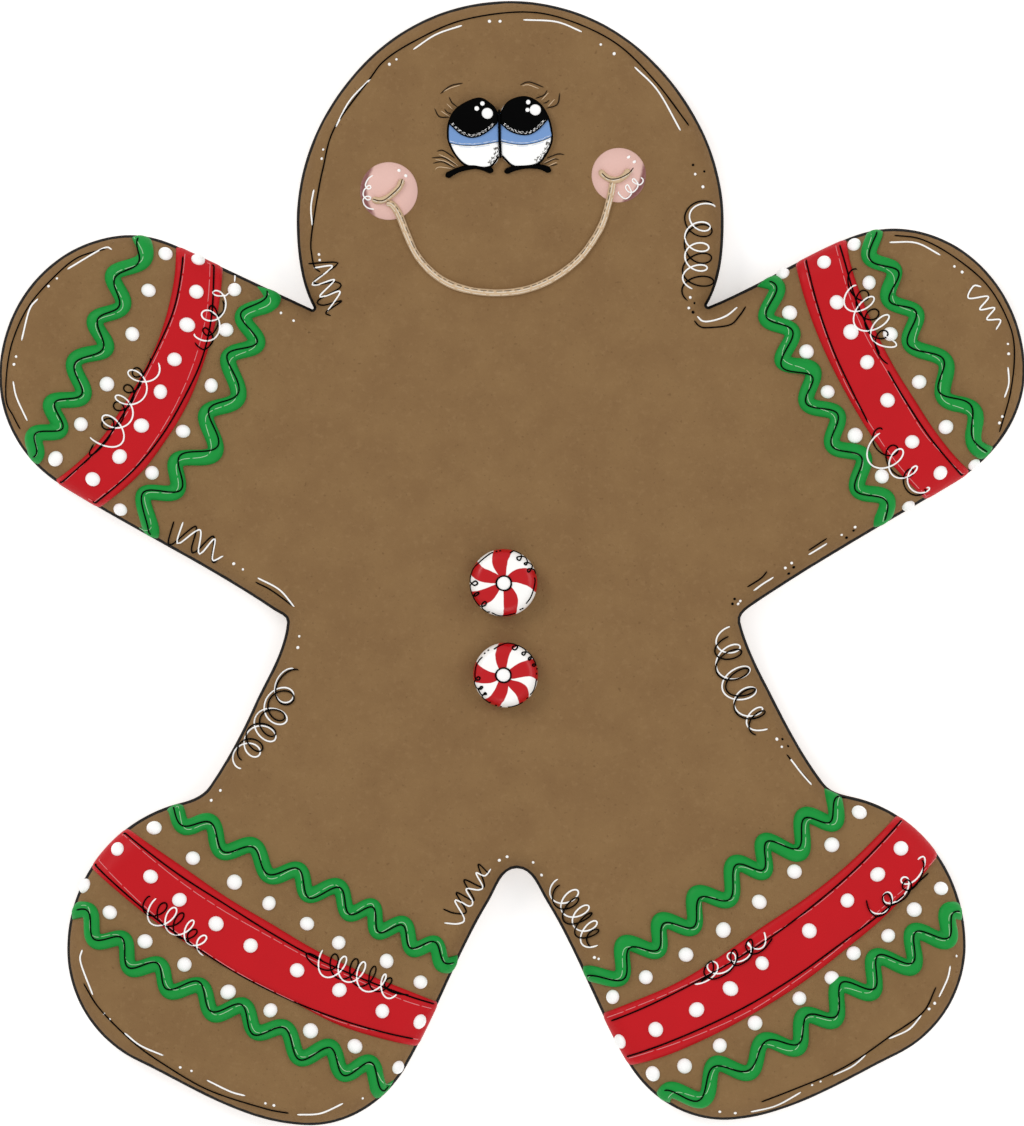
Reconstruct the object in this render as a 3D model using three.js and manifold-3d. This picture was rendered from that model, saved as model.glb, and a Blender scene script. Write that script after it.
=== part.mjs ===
// An iced gingerbread man, lying on its back: one thick baked biscuit with flooded and piped icing on top
// and two peppermint buttons. Millimetres, +Z up from the underside, +Y to the head, +X to the right
// as seen from above. Left and right are the sides seen from above.
import * as THREE from 'three';
import { mergeVertices } from 'three/addons/utils/BufferGeometryUtils.js';
import Module from 'manifold-3d';

const wasm = await Module();
wasm.setup();

// Biscuit
const thickness = 7.6;
const shoulderHeight = 3.6; // the side is upright to here, then rounds over
const shoulderRun = 3.4; // the top is level from this far in
const shoulderSteps = 5;
const footInset = 0.8; // the underside is drawn in where the dough met the tray
const footRise = 1.4;
const cornerRadius = 0.4; // of the creases beside the neck

// Icing
const flatGap = 0.05; // between a piece of icing and the level top under it
const rimGap = 0.4; // the same where it bends over the shoulder
const edgeMargin = 0.35; // icing stops this far in from the edge
const bandThickness = 0.75;
const bandEdge = 0.3; // a band's thickness along its long sides
const zigzagHalfWidth = 1.15;
const zigzagHeight = 0.95;
const dotRadius = 1.05;
const dotHeight = 0.7;
const dotSink = 0.3;
const dotMargin = 1.0; // the middle of a dot stays this far in from the edge

// Face and buttons
const cheekHeight = 1.0;
const smileHalfWidth = 0.6;
const smileHeight = 0.6;
const smileGap = 0.2; // between the cheeks and the ends of the smile over them
const lidHalfWidth = 0.33;
const lidHeight = 0.5;
const eyeWhiteHeight = 0.5;
const irisHeight = 0.25;
const pupilHeight = 0.35;
const layerGap = 0.05;
const candyHeight = 3.5;

// Outline of the biscuit, clockwise from the crease at the right of the neck: x, y and the heading of the
// edge in degrees, with a second heading where it turns a sharp corner.
const outlineAnchors = [
  [27.5, 36.3, -120, 22],
  [47.3, 46.0, 23],
  [55.5, 47.5, -5],
  [72.9, 28.5, -86],
  [62.8, 11.4, -149],
  [34.2, -6.0, -146],
  [32.5, -8.4, -76],
  [37.5, -19.9, -63],
  [44.3, -31.3, -53],
  [48.7, -33.3, -13],
  [64.5, -53.6, -88],
  [54.7, -69.9, -154],
  [31.5, -79.1, -175],
  [16.5, -71.1, 121],
  [4.9, -48.1, 122],
  [0.7, -43.4, 180],
  [-3.3, -48.1, -121],
  [-15.0, -71.5, -120],
  [-29.6, -79.9, 177],
  [-53.2, -70.8, 154],
  [-63.2, -54.9, 90],
  [-47.2, -34.1, 14],
  [-43.0, -31.7, 56],
  [-36.8, -20.5, 66],
  [-32.0, -8.4, 85],
  [-33.9, -6.7, 146],
  [-64.3, 11.2, 148],
  [-72.9, 26.8, 89],
  [-55.0, 46.6, 4],
  [-46.8, 44.7, -25],
  [-28.0, 35.9, -25, 118],
  [-30.6, 47.9, 91],
  [-20.2, 71.9, 44],
  [-0.3, 79.9, 0],
  [19.6, 71.8, -44],
  [30.1, 48.0, -91],
];

// Red bands: the centre line as start, control and end of one quadratic curve, running past both edges of
// the limb, then the width.
const bands = [
  { name: 'band_arm_left', line: [[-44.0, 46.4], [-45.7, 23.4], [-64.5, 6.6]], width: 7.6 },
  { name: 'band_arm_right', line: [[43.0, 47.6], [48.6, 24.6], [64.4, 7.7]], width: 7.7 },
  { name: 'band_leg_left', line: [[-60.9, -37.0], [-37.4, -57.7], [-9.4, -66.8]], width: 8.3 },
  { name: 'band_leg_right', line: [[61.3, -35.5], [40.0, -58.9], [11.9, -69.2]], width: 8.8 },
];

// Green zigzags, piped as rounded waves: centre line, number of waves, phase, how far the waves crowd
// towards the start, and the height of a wave at the middle of the line with its growth along it.
const zigzags = [
  {
    name: 'zigzag_arm_left_outer',
    line: [[-68.4, 14.7], [-58.6, 30.2], [-53.0, 45.4]],
    waves: 5.16, phase: -1.39, crowd: 0.215, swing: 1.4, growth: 0.54,
  },
  {
    name: 'zigzag_arm_left_inner',
    line: [[-53.0, 6.0], [-40.4, 18.3], [-35.5, 38.3]],
    waves: 4.88, phase: 5.09, crowd: -0.037, swing: 1.6, growth: -0.17,
  },
  {
    name: 'zigzag_arm_right_inner',
    line: [[53.6, 6.1], [42.2, 23.6], [35.7, 39.1]],
    waves: 5.52, phase: 2.24, crowd: 0.056, swing: 1.4, growth: 0.09,
  },
  {
    name: 'zigzag_arm_right_outer',
    line: [[67.7, 16.0], [56.2, 33.2], [51.0, 45.8]],
    waves: 4.44, phase: 0.72, crowd: 0, swing: 1.3, growth: -0.27,
  },
  {
    name: 'zigzag_leg_left_upper',
    line: [[-8.8, -56.3], [-26.2, -46.9], [-49.3, -35.0]],
    waves: 7.5, phase: 0.9, crowd: 0.124, swing: 1.1, growth: 0.19,
  },
  {
    name: 'zigzag_leg_left_lower',
    line: [[-16.2, -73.7], [-43.5, -64.4], [-61.7, -50.0]],
    waves: 7.8, phase: 0.36, crowd: 0.102, swing: 1.25, growth: 0.08,
  },
  {
    name: 'zigzag_leg_right_upper',
    line: [[11.4, -60.3], [27.5, -47.2], [47.2, -34.0]],
    waves: 7.13, phase: 0.6, crowd: -0.09, swing: 1.3, growth: 0.03,
  },
  {
    name: 'zigzag_leg_right_lower',
    line: [[22.0, -76.7], [42.6, -66.9], [63.7, -49.1]],
    waves: 7.28, phase: 0.93, crowd: -0.235, swing: 1.5, growth: -0.28,
  },
];

// Rows of white dots: how many, the line they follow, how far they crowd towards its start, and the band
// that carries them where it isn't the biscuit.
const dotRows = [
  { count: 6, line: [[-49.2, 43.9], [-58.7, 20.3], [-64.9, 14.9]], crowd: -0.53 },
  { count: 8, line: [[-44.1, 43.2], [-48.1, 20.3], [-59.6, 11.8]], crowd: -0.32, on: 'band_arm_left' },
  { count: 6, line: [[-39.0, 38.9], [-45.4, 14.2], [-55.9, 7.8]], crowd: -0.41 },
  { count: 7, line: [[38.9, 41.3], [38.8, 30.1], [56.3, 7.8]], crowd: 0.38 },
  { count: 7, line: [[44.4, 42.4], [49.4, 26.2], [60.8, 12.6]], crowd: -0.14, on: 'band_arm_right' },
  { count: 6, line: [[49.1, 45.5], [58.7, 20.7], [65.7, 14.1]], crowd: -0.48 },
  { count: 8, line: [[-50.6, -37.9], [-32.9, -50.5], [-13.0, -59.2]], crowd: 0.05 },
  { count: 9, line: [[-55.7, -40.6], [-45.3, -52.4], [-12.9, -65.6]], crowd: 0.3, on: 'band_leg_left' },
  { count: 9, line: [[-60.8, -45.6], [-50.3, -58.3], [-16.3, -71.3]], crowd: 0.33 },
  { count: 8, line: [[14.2, -61.7], [39.2, -47.3], [49.4, -35.5]], crowd: -0.32 },
  { count: 9, line: [[15.1, -68.2], [28.8, -64.9], [55.6, -40.5]], crowd: 0.43, on: 'band_leg_right' },
  { count: 10, line: [[19.9, -73.4], [50.6, -57.4], [60.5, -46.1]], crowd: -0.29 },
];

// Eyes: the outline of each layer, counter-clockwise, as x, y and heading, with a second heading at a corner.
const eyes = [
  {
    side: 'left',
    white: [[-9.3, 61.0, -90], [-7.6, 56.6, -60, 12], [-5.3, 57.0, 0], [-2.9, 56.6, -12, 76],
      [-1.9, 61.4, 90], [-4.8, 66.1, 180]],
    iris: [[-9.2, 61.0, -95], [-9.0, 59.7, -80, -8], [-5.4, 59.3, 0], [-2.0, 59.8, 10, 85],
      [-1.9, 61.4, 92], [-4.8, 66.1, 180]],
    pupil: [[-9.15, 61.9, -92, -28], [-5.4, 60.3, 0], [-1.95, 62.5, 48, 92], [-4.8, 66.1, 180]],
    lid: [[-9.4, 54.9, 38], [-5.6, 56.2, 2], [-2.7, 55.5, -24]],
    glints: [[-3.5, 63.8, 0.8], [-5.0, 64.5, 0.34], [-4.2, 65.2, 0.32]],
  },
  {
    side: 'right',
    white: [[-1.4, 61.2, -90], [0.1, 56.6, -68, 10], [2.2, 57.0, 0], [4.1, 56.6, -10, 60],
      [5.8, 60.9, 92], [1.8, 66.3, 180]],
    iris: [[-1.4, 61.4, -88], [-1.4, 59.9, -88, -12], [1.9, 59.4, 0], [5.6, 60.4, 22, 88],
      [5.7, 61.2, 94], [1.8, 66.3, 180]],
    pupil: [[-1.35, 62.4, -90, -40], [2.0, 60.7, 0], [5.45, 62.9, 48, 105], [1.8, 66.3, 180]],
    lid: [[-1.0, 55.3, 32], [2.3, 56.2, 0], [5.5, 55.5, -28]],
    glints: [[3.3, 64.3, 0.8], [2.2, 64.3, 0.3], [2.3, 65.4, 0.33]],
  },
];

const cheeks = [
  { side: 'left', at: [-17.5, 52.8], radius: 4.1 },
  { side: 'right', at: [15.2, 55.1], radius: 3.9 },
];

const smileLine = [
  [-16.9, 52.4, -76],
  [-10.5, 40.2, -38],
  [-2.1, 38.2, 3],
  [9.1, 42.9, 47],
  [14.4, 54.6, 72],
];
const dimpleLines = [
  [[-19.6, 51.4, -8], [-17.4, 51.8, 35], [-15.6, 54.5, 72]],
  [[12.4, 55.6, -48], [14.2, 54.1, 0], [17.1, 56.0, 48]],
];

const buttons = [
  { name: 'candy_upper', at: [-1.2, -2.8], radius: 4.8 },
  { name: 'candy_lower', at: [-0.9, -15.9], radius: 4.6 },
];

const paint = {
  biscuit: new THREE.MeshStandardMaterial({ color: '#876a47', roughness: 0.85, metalness: 0 }),
  red: new THREE.MeshStandardMaterial({ color: '#c3252c', roughness: 0.45, metalness: 0 }),
  green: new THREE.MeshStandardMaterial({ color: '#299646', roughness: 0.45, metalness: 0 }),
  white: new THREE.MeshStandardMaterial({ color: '#fbfaf6', roughness: 0.45, metalness: 0 }),
  blue: new THREE.MeshStandardMaterial({ color: '#799bcb', roughness: 0.45, metalness: 0 }),
  black: new THREE.MeshStandardMaterial({ color: '#0b0a0a', roughness: 0.4, metalness: 0 }),
  pink: new THREE.MeshStandardMaterial({ color: '#e1baaf', roughness: 0.5, metalness: 0 }),
  tan: new THREE.MeshStandardMaterial({ color: '#d0b896', roughness: 0.5, metalness: 0 }),
  candy: new THREE.MeshStandardMaterial({ color: '#f6efec', roughness: 0.15, metalness: 0 }),
};

const figure = new THREE.Group();

function addPiece(name, geometry, material, z = 0) {
  const mesh = new THREE.Mesh(geometry, material);
  mesh.name = name;
  mesh.position.z = z;
  figure.add(mesh);
}

// ---- Lines ----

function step(degrees, length) {
  const angle = THREE.MathUtils.degToRad(degrees);
  return new THREE.Vector2(Math.cos(angle), Math.sin(angle)).multiplyScalar(length);
}

// A corner with two headings becomes two anchors, so that the curve between them rounds it off.
function roundCorner(anchor, radius) {
  const [x, y, headingIn, headingOut] = anchor;
  if (headingOut === undefined) {
    return [anchor];
  }
  const turn = THREE.MathUtils.degToRad(headingOut - headingIn);
  const reach = radius * Math.abs(Math.tan(turn / 2));
  const before = new THREE.Vector2(x, y).sub(step(headingIn, reach));
  const after = new THREE.Vector2(x, y).add(step(headingOut, reach));
  return [[before.x, before.y, headingIn], [after.x, after.y, headingOut]];
}

// Points along a smooth line through anchors of x, y and heading, with a second heading at a sharp corner.
function trace(anchors, { closed, turnStep, lengthStep }) {
  const points = [];
  const spans = closed ? anchors.length : anchors.length - 1;
  for (let i = 0; i < spans; i += 1) {
    const [x0, y0, , heading0 = anchors[i][2]] = anchors[i];
    const [x1, y1, heading1] = anchors[(i + 1) % anchors.length];
    const start = new THREE.Vector2(x0, y0);
    const end = new THREE.Vector2(x1, y1);
    const turn = THREE.MathUtils.euclideanModulo(heading1 - heading0 + 180, 360) - 180;
    const chord = start.distanceTo(end);
    const handle = (chord * 2) / 3 / (1 + Math.cos(THREE.MathUtils.degToRad(turn) / 2));
    const curve = new THREE.CubicBezierCurve(
      start,
      start.clone().add(step(heading0, handle)),
      end.clone().sub(step(heading1, handle)),
      end,
    );
    const steps = Math.ceil(Math.max(Math.abs(turn) / turnStep, chord / lengthStep));
    for (let k = 0; k < steps; k += 1) {
      points.push(curve.getPoint(k / steps));
    }
    if (!closed && i === spans - 1) {
      points.push(end);
    }
  }
  return points;
}

function quadratic(line) {
  return new THREE.QuadraticBezierCurve(...line.map(([x, y]) => new THREE.Vector2(x, y)));
}

// The unit vector to the left of a line at t.
function leftOf(curve, t) {
  const along = curve.getTangent(t);
  return new THREE.Vector2(-along.y, along.x);
}

// Moves a closed counter-clockwise loop inwards by the same distance from each of its edges.
function inset(loop, distance) {
  return loop.map((point, i) => {
    const before = loop[(i + loop.length - 1) % loop.length];
    const after = loop[(i + 1) % loop.length];
    const edgeIn = point.clone().sub(before).normalize();
    const edgeOut = after.clone().sub(point).normalize();
    const inwards = new THREE.Vector2(-edgeIn.y - edgeOut.y, edgeIn.x + edgeOut.x);
    return point.clone().addScaledVector(inwards, (2 * distance) / inwards.lengthSq());
  });
}

// ---- Solids ----

// Triangles that close a flat ring of any outline.
function flatCap(ring) {
  return THREE.ShapeUtils.triangulateShape(ring.map((point) => new THREE.Vector2(point.x, point.y)), []);
}

// Triangles that close the section of a strip, whose first half is its underside and second half its top.
function stripCap(ring) {
  const last = ring.length - 1;
  const triangles = [];
  for (let i = 0; i < ring.length / 2 - 1; i += 1) {
    triangles.push([i, i + 1, last - i - 1], [i, last - i - 1, last - i]);
  }
  return triangles;
}

// Triangles that close a small section with no hollows.
function fanCap(ring) {
  return Array.from({ length: ring.length - 2 }, (_, i) => [0, i + 1, i + 2]);
}

// Closes a stack of rings of equal length into one skin. Seen from the last ring, they run counter-clockwise.
function skin(rings, cap) {
  const size = rings[0].length;
  const last = (rings.length - 1) * size;
  const triangles = [];
  for (let start = 0; start < last; start += size) {
    for (let i = 0; i < size; i += 1) {
      const a = start + i;
      const b = start + ((i + 1) % size);
      triangles.push(a, b, b + size, a, b + size, a + size);
    }
  }
  for (const [a, b, c] of cap(rings[0])) {
    triangles.push(a, c, b);
  }
  for (const [a, b, c] of cap(rings.at(-1))) {
    triangles.push(last + a, last + b, last + c);
  }
  const geometry = new THREE.BufferGeometry().setFromPoints(rings.flat());
  geometry.setIndex(triangles);
  return geometry;
}

function toSolid(geometry) {
  const bare = geometry.clone();
  bare.deleteAttribute('normal');
  bare.deleteAttribute('uv');
  const merged = mergeVertices(bare);
  const triangles = [];
  for (let i = 0; i < merged.index.count; i += 3) {
    const [a, b, c] = [0, 1, 2].map((k) => merged.index.getX(i + k));
    if (a !== b && b !== c && c !== a) {
      triangles.push(a, b, c);
    }
  }
  return new wasm.Manifold(new wasm.Mesh({
    numProp: 3,
    vertProperties: new Float32Array(merged.attributes.position.array),
    triVerts: new Uint32Array(triangles),
  }));
}

function fromSolid(solid) {
  const { vertProperties, triVerts } = solid.getMesh();
  const geometry = new THREE.BufferGeometry();
  geometry.setAttribute('position', new THREE.BufferAttribute(vertProperties, 3));
  geometry.setIndex(new THREE.BufferAttribute(triVerts, 1));
  return geometry;
}

function fuse(base, additions) {
  return fromSolid(additions.reduce((whole, piece) => whole.add(toSolid(piece)), toSolid(base)));
}

// ---- Biscuit ----

const outline = trace(
  outlineAnchors.flatMap((anchor) => roundCorner(anchor, cornerRadius)),
  { closed: true, turnStep: 15, lengthStep: 8 },
).reverse();

// The inset of a place from the nearest edge of the biscuit, negative outside it, with that edge.
function nearestEdge(x, y) {
  const place = new THREE.Vector2(x, y);
  let found = { inset: Infinity };
  let crossings = 0;
  outline.forEach((a, i) => {
    const b = outline[(i + 1) % outline.length];
    const side = b.clone().sub(a);
    const share = THREE.MathUtils.clamp(place.clone().sub(a).dot(side) / side.lengthSq(), 0, 1);
    const foot = a.clone().addScaledVector(side, share);
    const away = foot.distanceTo(place);
    if (away < found.inset) {
      found = { inset: away, foot, inwards: new THREE.Vector2(-side.y, side.x).normalize() };
    }
    if (a.y > y !== b.y > y && x < a.x + ((y - a.y) / (b.y - a.y)) * (b.x - a.x)) {
      crossings += 1;
    }
  });
  if (crossings % 2 === 0) {
    found.inset *= -1;
  }
  return found;
}

// Height of the top surface at an inset from the edge.
function topHeight(inwards) {
  const share = THREE.MathUtils.clamp(inwards / shoulderRun, 0, 1);
  return shoulderHeight + (thickness - shoulderHeight) * Math.sqrt(1 - (1 - share) ** 2);
}

// A place, pulled in to the margin where it is nearer to the edge of the biscuit, or past it.
function pullIn(place, margin) {
  const edge = nearestEdge(place.x, place.y);
  return edge.inset < margin ? edge.foot.clone().addScaledVector(edge.inwards, margin) : place;
}

// A point on the top surface, or height above it, no nearer to the edge than icing goes.
function onTop(place, height = 0) {
  const spot = pullIn(place, edgeMargin);
  const inwards = Math.max(nearestEdge(spot.x, spot.y).inset, edgeMargin);
  return new THREE.Vector3(spot.x, spot.y, topHeight(inwards) + height);
}

// As onTop, with the gap that a piece of icing keeps to the biscuit.
function onIcingBed(place, height = 0) {
  const share = THREE.MathUtils.clamp(nearestEdge(place.x, place.y).inset / shoulderRun, 0, 1);
  return onTop(place, height + THREE.MathUtils.lerp(rimGap, flatGap, share));
}

function surfaceNormal(place) {
  const edge = nearestEdge(place.x, place.y);
  const share = THREE.MathUtils.clamp(edge.inset / shoulderRun, edgeMargin / shoulderRun, 1);
  const steepness = (1 - share) / Math.sqrt(1 - (1 - share) ** 2);
  const slope = ((thickness - shoulderHeight) / shoulderRun) * steepness;
  return new THREE.Vector3(-slope * edge.inwards.x, -slope * edge.inwards.y, 1).normalize();
}

function makeBody() {
  const shoulderRise = thickness - shoulderHeight;
  const profile = [[footInset, 0], [0, footRise], [0, shoulderHeight]];
  for (let i = 1; i <= shoulderSteps; i += 1) {
    const angle = ((i / shoulderSteps) * Math.PI) / 2;
    profile.push([shoulderRun * (1 - Math.cos(angle)), shoulderHeight + shoulderRise * Math.sin(angle)]);
  }
  const rings = profile.map(([inwards, z]) => (
    inset(outline, inwards).map((point) => new THREE.Vector3(point.x, point.y, z))
  ));
  return skin(rings, flatCap);
}

// ---- Dots ----

// A round blob of icing, sunk a little into what carries it.
function blob(radius, height, sides, base, up) {
  const profile = [[0, -dotSink], [1.1 * radius, -dotSink], [0.76 * radius, 0.72 * height], [0, height]];
  const geometry = new THREE.LatheGeometry(profile.map(([r, h]) => new THREE.Vector2(r, h)), sides);
  geometry.applyQuaternion(new THREE.Quaternion().setFromUnitVectors(new THREE.Vector3(0, 1, 0), up));
  geometry.translate(base.x, base.y, base.z);
  return geometry;
}

function dotPlaces({ count, line, crowd }) {
  const curve = quadratic(line);
  return Array.from({ length: count }, (_, i) => {
    const t = i / (count - 1);
    return pullIn(curve.getPoint(t + crowd * t * (1 - t)), dotMargin);
  });
}

function dotsOn(carrier, bed) {
  return dotRows.filter((row) => row.on === carrier).flatMap(dotPlaces).map((place) => (
    blob(dotRadius, dotHeight, 7, bed(place), surfaceNormal(place))
  ));
}

// ---- Bands ----

// The places t along a line that cross the shoulder at one end, from the edge margin to the level top.
function rimSteps(placeAt, from, to) {
  const insets = [edgeMargin];
  for (let i = 2; i <= shoulderSteps; i += 1) {
    insets.push(shoulderRun * (1 - Math.cos(((i / shoulderSteps) * Math.PI) / 2)));
  }
  return insets.map((wanted) => {
    let [outer, inner] = [from, to];
    for (let i = 0; i < 30; i += 1) {
      const middle = (outer + inner) / 2;
      const place = placeAt(middle);
      if (nearestEdge(place.x, place.y).inset < wanted) {
        outer = middle;
      } else {
        inner = middle;
      }
    }
    return inner;
  });
}

function makeBand({ line, width }) {
  const curve = quadratic(line);
  const innerSteps = 7;
  const shoulder = [0.84, 0.62]; // the flooded icing rounds over from here to its edge
  const strips = [
    [-1, bandEdge],
    [-shoulder[0], shoulder[1]],
    [0, bandThickness],
    shoulder,
    [1, bandEdge],
  ];
  const columns = strips.map(([across, depth]) => {
    const placeAt = (t) => curve.getPoint(t).addScaledVector(leftOf(curve, t), (across * width) / 2);
    const start = rimSteps(placeAt, 0, 0.5);
    const end = rimSteps(placeAt, 1, 0.5).reverse();
    const middle = Array.from({ length: innerSteps - 1 }, (_, i) => (
      THREE.MathUtils.lerp(start.at(-1), end[0], (i + 1) / innerSteps)
    ));
    const places = [...start, ...middle, ...end].map(placeAt);
    return {
      low: places.map((place) => onIcingBed(place)),
      high: places.map((place) => onIcingBed(place, depth)),
    };
  });
  const rings = columns[0].low.map((_, i) => [
    ...columns.map(({ low }) => low[i]),
    ...columns.map(({ high }) => high[i]).reverse(),
  ]);
  return skin(rings, stripCap);
}

// ---- Zigzags ----

// The two borders of a piped wave at t: how far the bead reaches to each side of the centre line.
function zigzagBorders({ waves, phase, crowd, swing, growth }, t, speed) {
  const reach = zigzagHalfWidth / speed;
  const samples = 24;
  let [right, left] = [Infinity, -Infinity];
  for (let i = 0; i <= samples; i += 1) {
    const offset = reach * ((2 * i) / samples - 1);
    const at = t + offset;
    const angle = phase + 2 * Math.PI * waves * (at + crowd * at * (1 - at));
    const centre = swing * (1 + growth * (at - 0.5)) * Math.sin(angle);
    const bulge = Math.sqrt(Math.max(zigzagHalfWidth ** 2 - (offset * speed) ** 2, 0));
    right = Math.min(right, centre - bulge);
    left = Math.max(left, centre + bulge);
  }
  return [right, left];
}

// How far a straight underside between places 0 and 1 would cut into its bed on the way.
function sag(placeAt) {
  const heightAt = (across) => onIcingBed(placeAt(across)).z;
  const cuts = [0.25, 0.5, 0.75].map((across) => (
    heightAt(across) - THREE.MathUtils.lerp(heightAt(0), heightAt(1), across)
  ));
  return Math.max(...cuts, 0);
}

function makeZigzag(zigzag) {
  const curve = quadratic(zigzag.line);
  const stepsPerWave = 6;
  const overrun = 0.06;
  const halfSteps = 2 * Math.round(zigzag.waves * stepsPerWave * (1 + 2 * overrun));
  const section = [[0, 0], [1, 0], [0.86, 0.68], [0.5, 1], [0.14, 0.68]];
  const length = curve.getLength();
  const rings = [];
  for (let i = 0; i <= halfSteps; i += 1) {
    const t = THREE.MathUtils.lerp(-overrun, 1 + overrun, i / halfSteps);
    const centre = curve.getPoint(t);
    const centreInset = nearestEdge(centre.x, centre.y).inset;
    if (centreInset > edgeMargin && (i % 2 === 0 || centreInset < shoulderRun)) {
      const borders = zigzagBorders(zigzag, t, length);
      const left = leftOf(curve, THREE.MathUtils.clamp(t, 0, 1));
      const placeAt = (across) => {
        const reach = THREE.MathUtils.lerp(...borders, across);
        return centre.clone().addScaledVector(left, reach);
      };
      const lift = sag(placeAt);
      rings.push(section.map(([across, height]) => (
        onIcingBed(placeAt(across), height * zigzagHeight + lift)
      )));
    }
  }
  return skin(rings, fanCap);
}

// ---- Face ----

// A flat pool of icing inside a loop, with a rounded rim.
function pool(anchors, height, edge) {
  const loop = trace(anchors, { closed: true, turnStep: 24, lengthStep: 2.5 });
  const profile = [[0, 0], [0, 0.4 * height], [0.35 * edge, 0.85 * height], [edge, height]];
  const rings = profile.map(([inwards, z]) => (
    inset(loop, inwards).map((point) => new THREE.Vector3(point.x, point.y, z))
  ));
  return skin(rings, flatCap);
}

// A piped line that tapers to both ends; bed(place) is the height of what it lies on.
function pipedLine(anchors, halfWidth, height, bed) {
  const points = trace(anchors, { closed: false, turnStep: 18, lengthStep: 1.3 });
  const section = [[-1, 0], [1, 0], [0.7, 0.7], [0, 1], [-0.7, 0.7]];
  const rings = points.map((point, i) => {
    const before = points[Math.max(i - 1, 0)];
    const after = points[Math.min(i + 1, points.length - 1)];
    const along = after.clone().sub(before).normalize();
    const left = new THREE.Vector2(-along.y, along.x);
    const toEnd = Math.min(i, points.length - 1 - i) / 3;
    const full = THREE.MathUtils.lerp(0.45, 1, Math.min(toEnd, 1));
    return section.map(([across, rise]) => {
      const place = point.clone().addScaledVector(left, across * halfWidth * full);
      return new THREE.Vector3(place.x, place.y, bed(place) + rise * height * full);
    });
  });
  return skin(rings, fanCap);
}

function makeCheek({ at, radius }) {
  const sides = 20;
  const rings = 4;
  const profile = [new THREE.Vector2(0, 0), new THREE.Vector2(radius, 0)];
  for (let i = 1; i <= rings; i += 1) {
    const share = Math.sqrt(1 - i / rings);
    profile.push(new THREE.Vector2(radius * share, cheekRise(share)));
  }
  const geometry = new THREE.LatheGeometry(profile, sides);
  geometry.rotateX(Math.PI / 2);
  geometry.translate(at[0], at[1], 0);
  return geometry;
}

// Height of a cheek at a share of its radius from the middle.
function cheekRise(share) {
  return cheekHeight * (1 - Math.min(share, 1) ** 3);
}

// The level top with the cheeks on it, which the ends of the smile ride over.
function faceHeight(place) {
  const rises = cheeks.map(({ at, radius }) => {
    const away = place.distanceTo(new THREE.Vector2(...at));
    return cheekRise(away / radius);
  });
  const rise = Math.max(...rises);
  return thickness + flatGap + (rise > 0 ? rise + smileGap : 0);
}

function makeFace() {
  for (const { side, white, iris, pupil, lid, glints } of eyes) {
    const whiteBase = thickness + flatGap;
    const irisBase = whiteBase + eyeWhiteHeight + layerGap;
    const pupilBase = irisBase + irisHeight + layerGap;
    const up = new THREE.Vector3(0, 0, 1);
    const blobs = glints.map(([x, y, radius]) => (
      blob(radius, radius / 3, 7, new THREE.Vector3(x, y, pupilHeight), up)
    ));
    addPiece(`eye_white_${side}`, pool(white, eyeWhiteHeight, 0.3), paint.white, whiteBase);
    addPiece(`iris_${side}`, pool(iris, irisHeight, 0.25), paint.blue, irisBase);
    addPiece(`pupil_${side}`, fuse(pool(pupil, pupilHeight, 0.3), blobs), paint.black, pupilBase);
    addPiece(`lid_${side}`, pipedLine(lid, lidHalfWidth, lidHeight, () => whiteBase), paint.black);
  }
  for (const cheek of cheeks) {
    addPiece(`cheek_${cheek.side}`, makeCheek(cheek), paint.pink, thickness + flatGap);
  }
  const dimples = dimpleLines.map((line) => pipedLine(line, smileHalfWidth, smileHeight, faceHeight));
  addPiece('smile', fuse(pipedLine(smileLine, smileHalfWidth, smileHeight, faceHeight), dimples), paint.tan);
}

// ---- Buttons ----

// A round boiled sweet with a soft edge, a shallow dish on top and a dot of icing in the middle of it.
function makeCandy({ at, radius }) {
  const profile = [
    [0, 0],
    [0.84 * radius, 0],
    [0.97 * radius, 0.18 * candyHeight],
    [radius, 0.45 * candyHeight],
    [0.95 * radius, 0.76 * candyHeight],
    [0.8 * radius, 0.96 * candyHeight],
    [0.62 * radius, candyHeight],
    [0.23 * radius, 0.97 * candyHeight],
    [0.15 * radius, 1.13 * candyHeight],
    [0, 1.18 * candyHeight],
  ];
  const geometry = new THREE.LatheGeometry(profile.map(([r, h]) => new THREE.Vector2(r, h)), 22);
  geometry.rotateX(Math.PI / 2);
  geometry.translate(at[0], at[1], 0);
  return geometry;
}

addPiece('cookie', fuse(makeBody(), dotsOn(undefined, onTop)), paint.biscuit);
for (const band of bands) {
  const bed = (place) => onIcingBed(place, bandThickness);
  addPiece(band.name, fuse(makeBand(band), dotsOn(band.name, bed)), paint.red);
}
for (const zigzag of zigzags) {
  addPiece(zigzag.name, makeZigzag(zigzag), paint.green);
}
makeFace();
for (const button of buttons) {
  addPiece(button.name, makeCandy(button), paint.candy, thickness + flatGap);
}

export default figure;
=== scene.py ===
# An iced gingerbread man, dressed over its CAD solids: baked biscuit, flooded and piped icing, peppermints.
import math
import random

import bmesh
import bpy
from mathutils import Matrix, Vector, kdtree, noise
from mathutils.bvhtree import BVHTree


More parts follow.
